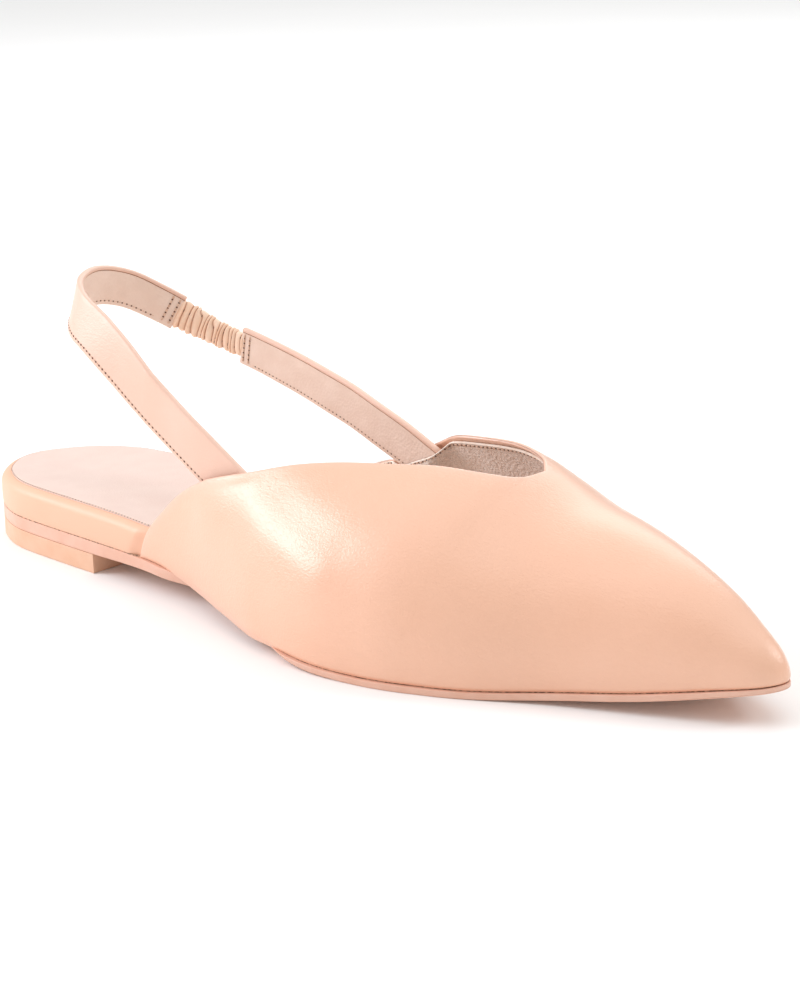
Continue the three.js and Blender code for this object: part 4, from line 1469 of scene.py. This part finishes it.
    def held(self, side: Side) -> Array:
        """Points of the inner face of the strap's last stretch, which the lining goes over."""
        line = self.line()
        gap = self.outer_gap if side is Side.OUTER else self.inner_gap
        near = np.linspace(gap + 1, self.held_length, 36) / line.length
        part = near if side is Side.OUTER else 1 - near
        middle, _, rise, leg, width = line.frames(part)
        high = np.linspace(-0.5, 0.5, 9)
        face = middle[:, None] + rise[:, None] * (high[:, None] * width[:, None, None])
        return (face + leg[:, None] * self.thickness / 2).reshape(-1, 3)

    def build(self) -> None:
        """Builds both straps, the elastic and their stitches."""
        line = self.line()
        LOG.info("strap line: %.2f mm", line.length)
        finishes = [finish.make() for finish in (STRAP_NAPPA, STRAP_LINING, RAW_EDGE, GROOVE_SHADE)]
        start, end = self.outer_gap / line.length, 1 - self.inner_gap / line.length
        self.build_strap("strap_lateral", start, self.elastic_start, line, finishes)
        self.build_strap("strap_medial", self.elastic_end, end, line, finishes)
        self.build_elastic(line)
        self.build_stitches(line)


def put(name: str, data: bpy.types.ID, axes: Sequence[Array], place: Sequence[float]) -> bpy.types.Object:
    """Adds a light or camera to the scene.

    Args:
        name: its name.
        data: the light or camera.
        axes: its right, its up and its back.
        place: where it stands, in metres.

    Returns:
        The object.
    """
    item = bpy.data.objects.new(name, data)
    bpy.context.scene.collection.objects.link(item)
    item.matrix_world = np.vstack([np.column_stack([*axes, place]), [0, 0, 0, 1]]).T.tolist()
    return item


@dataclass(frozen=True)
class SoftBox:
    """An area light that looks at the shoe: azimuth 0 is before the toe and -90 at the outer side."""

    name: str
    azimuth: float
    elevation: float
    distance: float
    width: float
    height: float
    power: float
    colour: tuple[float, float, float] = (1.0, 1.0, 1.0)
    target: tuple[float, float, float] = (0.0, 0.0, 0.02)

    def build(self) -> None:
        """Puts the light on its place on a sphere round the target, turned to it."""
        a, e = math.radians(self.azimuth), math.radians(self.elevation)
        back = np.array([math.sin(a) * math.cos(e), -math.cos(a) * math.cos(e), math.sin(e)])
        light = bpy.data.lights.new(self.name, "AREA")
        light.shape = "RECTANGLE"
        light.size, light.size_y, light.energy = self.width, self.height, self.power
        light.color = self.colour
        right = unit(np.cross(UP, back))
        put(self.name, light, (right, np.cross(back, right), back), self.target + back * self.distance)


@dataclass(frozen=True)
class Studio:
    """Pale floor, soft light and the photograph's camera."""

    floor_size: float = 12.0
    world_strength: float = 0.6
    sky_power: float = 0.8
    sky_spread: float = 70.0
    camera_place: tuple[float, float, float] = (-0.41160, -0.41117, 0.20082)
    yaw: float = 0.7585
    pitch: float = 0.2887
    roll: float = -0.03
    lens: float = 87.5
    lights: tuple[SoftBox, ...] = (
        SoftBox("window_behind", -147, 28, 1.3, 0.7, 0.62, 10.3, (0.98, 0.935, 1.0)),
        SoftBox("window_before", 40, 36, 1.4, 0.3, 0.3, 3.5),
        SoftBox("window_right", 116, 38, 1.5, 0.9, 0.6, 4.0),
    )

    def build_camera(self) -> None:
        """Turns the camera by yaw, pitch and roll about its own axes."""
        data = bpy.data.cameras.new("camera")
        data.lens, data.sensor_width = self.lens, 36.0
        data.clip_start, data.clip_end = 0.01, 50
        sine, cosine = math.sin(self.yaw), math.cos(self.yaw)
        right = np.array([sine, -cosine, 0.0])
        up = np.array([math.sin(self.pitch) * cosine, math.sin(self.pitch) * sine, math.cos(self.pitch)])
        back = np.cross(right, up)
        turned = math.cos(self.roll) * right + math.sin(self.roll) * up
        lifted = -math.sin(self.roll) * right + math.cos(self.roll) * up
        bpy.context.scene.camera = put("camera", data, (turned, lifted, back), self.camera_place)

    def build_floor(self) -> None:
        """A wide sheet of pale seamless paper."""
        half = self.floor_size / 2
        across = np.linspace(-half, half, 9) / MM
        x, y = np.meshgrid(across, across, indexing="ij")
        skin = Skin()
        skin.grid(np.stack([x, y, 0 * x], -1))
        skin.build("floor", [SEAMLESS_PAPER.make()])

    def build(self) -> None:
        """Builds camera, floor, lights and the white surroundings."""
        self.build_camera()
        self.build_floor()
        for light in self.lights:
            light.build()
        sky = bpy.data.lights.new("overhead", "SUN")
        sky.energy, sky.angle = self.sky_power, math.radians(self.sky_spread)
        put("overhead", sky, np.eye(3), np.zeros(3))
        world = bpy.data.worlds.new("white_room")
        world.use_nodes = True
        background = world.node_tree.nodes["Background"]
        background.inputs[0].default_value = (1.0, 1.0, 1.0, 1.0)
        background.inputs[1].default_value = self.world_strength
        bpy.context.scene.world = world
        bpy.context.scene.view_settings.view_transform = "Standard"


THREAD_MATERIAL = THREAD.make()
# Dark brown specks painted as the shade in needle holes
HOLE_SHADE_MATERIAL = HOLE_SHADE.make()


def main() -> None:
    logging.basicConfig(level=logging.INFO, format="%(message)s")
    Studio().build()
    last = Last.from_frame()
    LOG.info("last: length %.2f, width unit %.2f, centre %.3f", last.length, last.sole_width, last.centre)
    Sole(last).build()
    Footbed(last).build()
    straps = BackStraps(last)
    Upper(last, {side: straps.held(side) for side in Side}).build()
    straps.build()


if __name__ == "__main__":
    main()
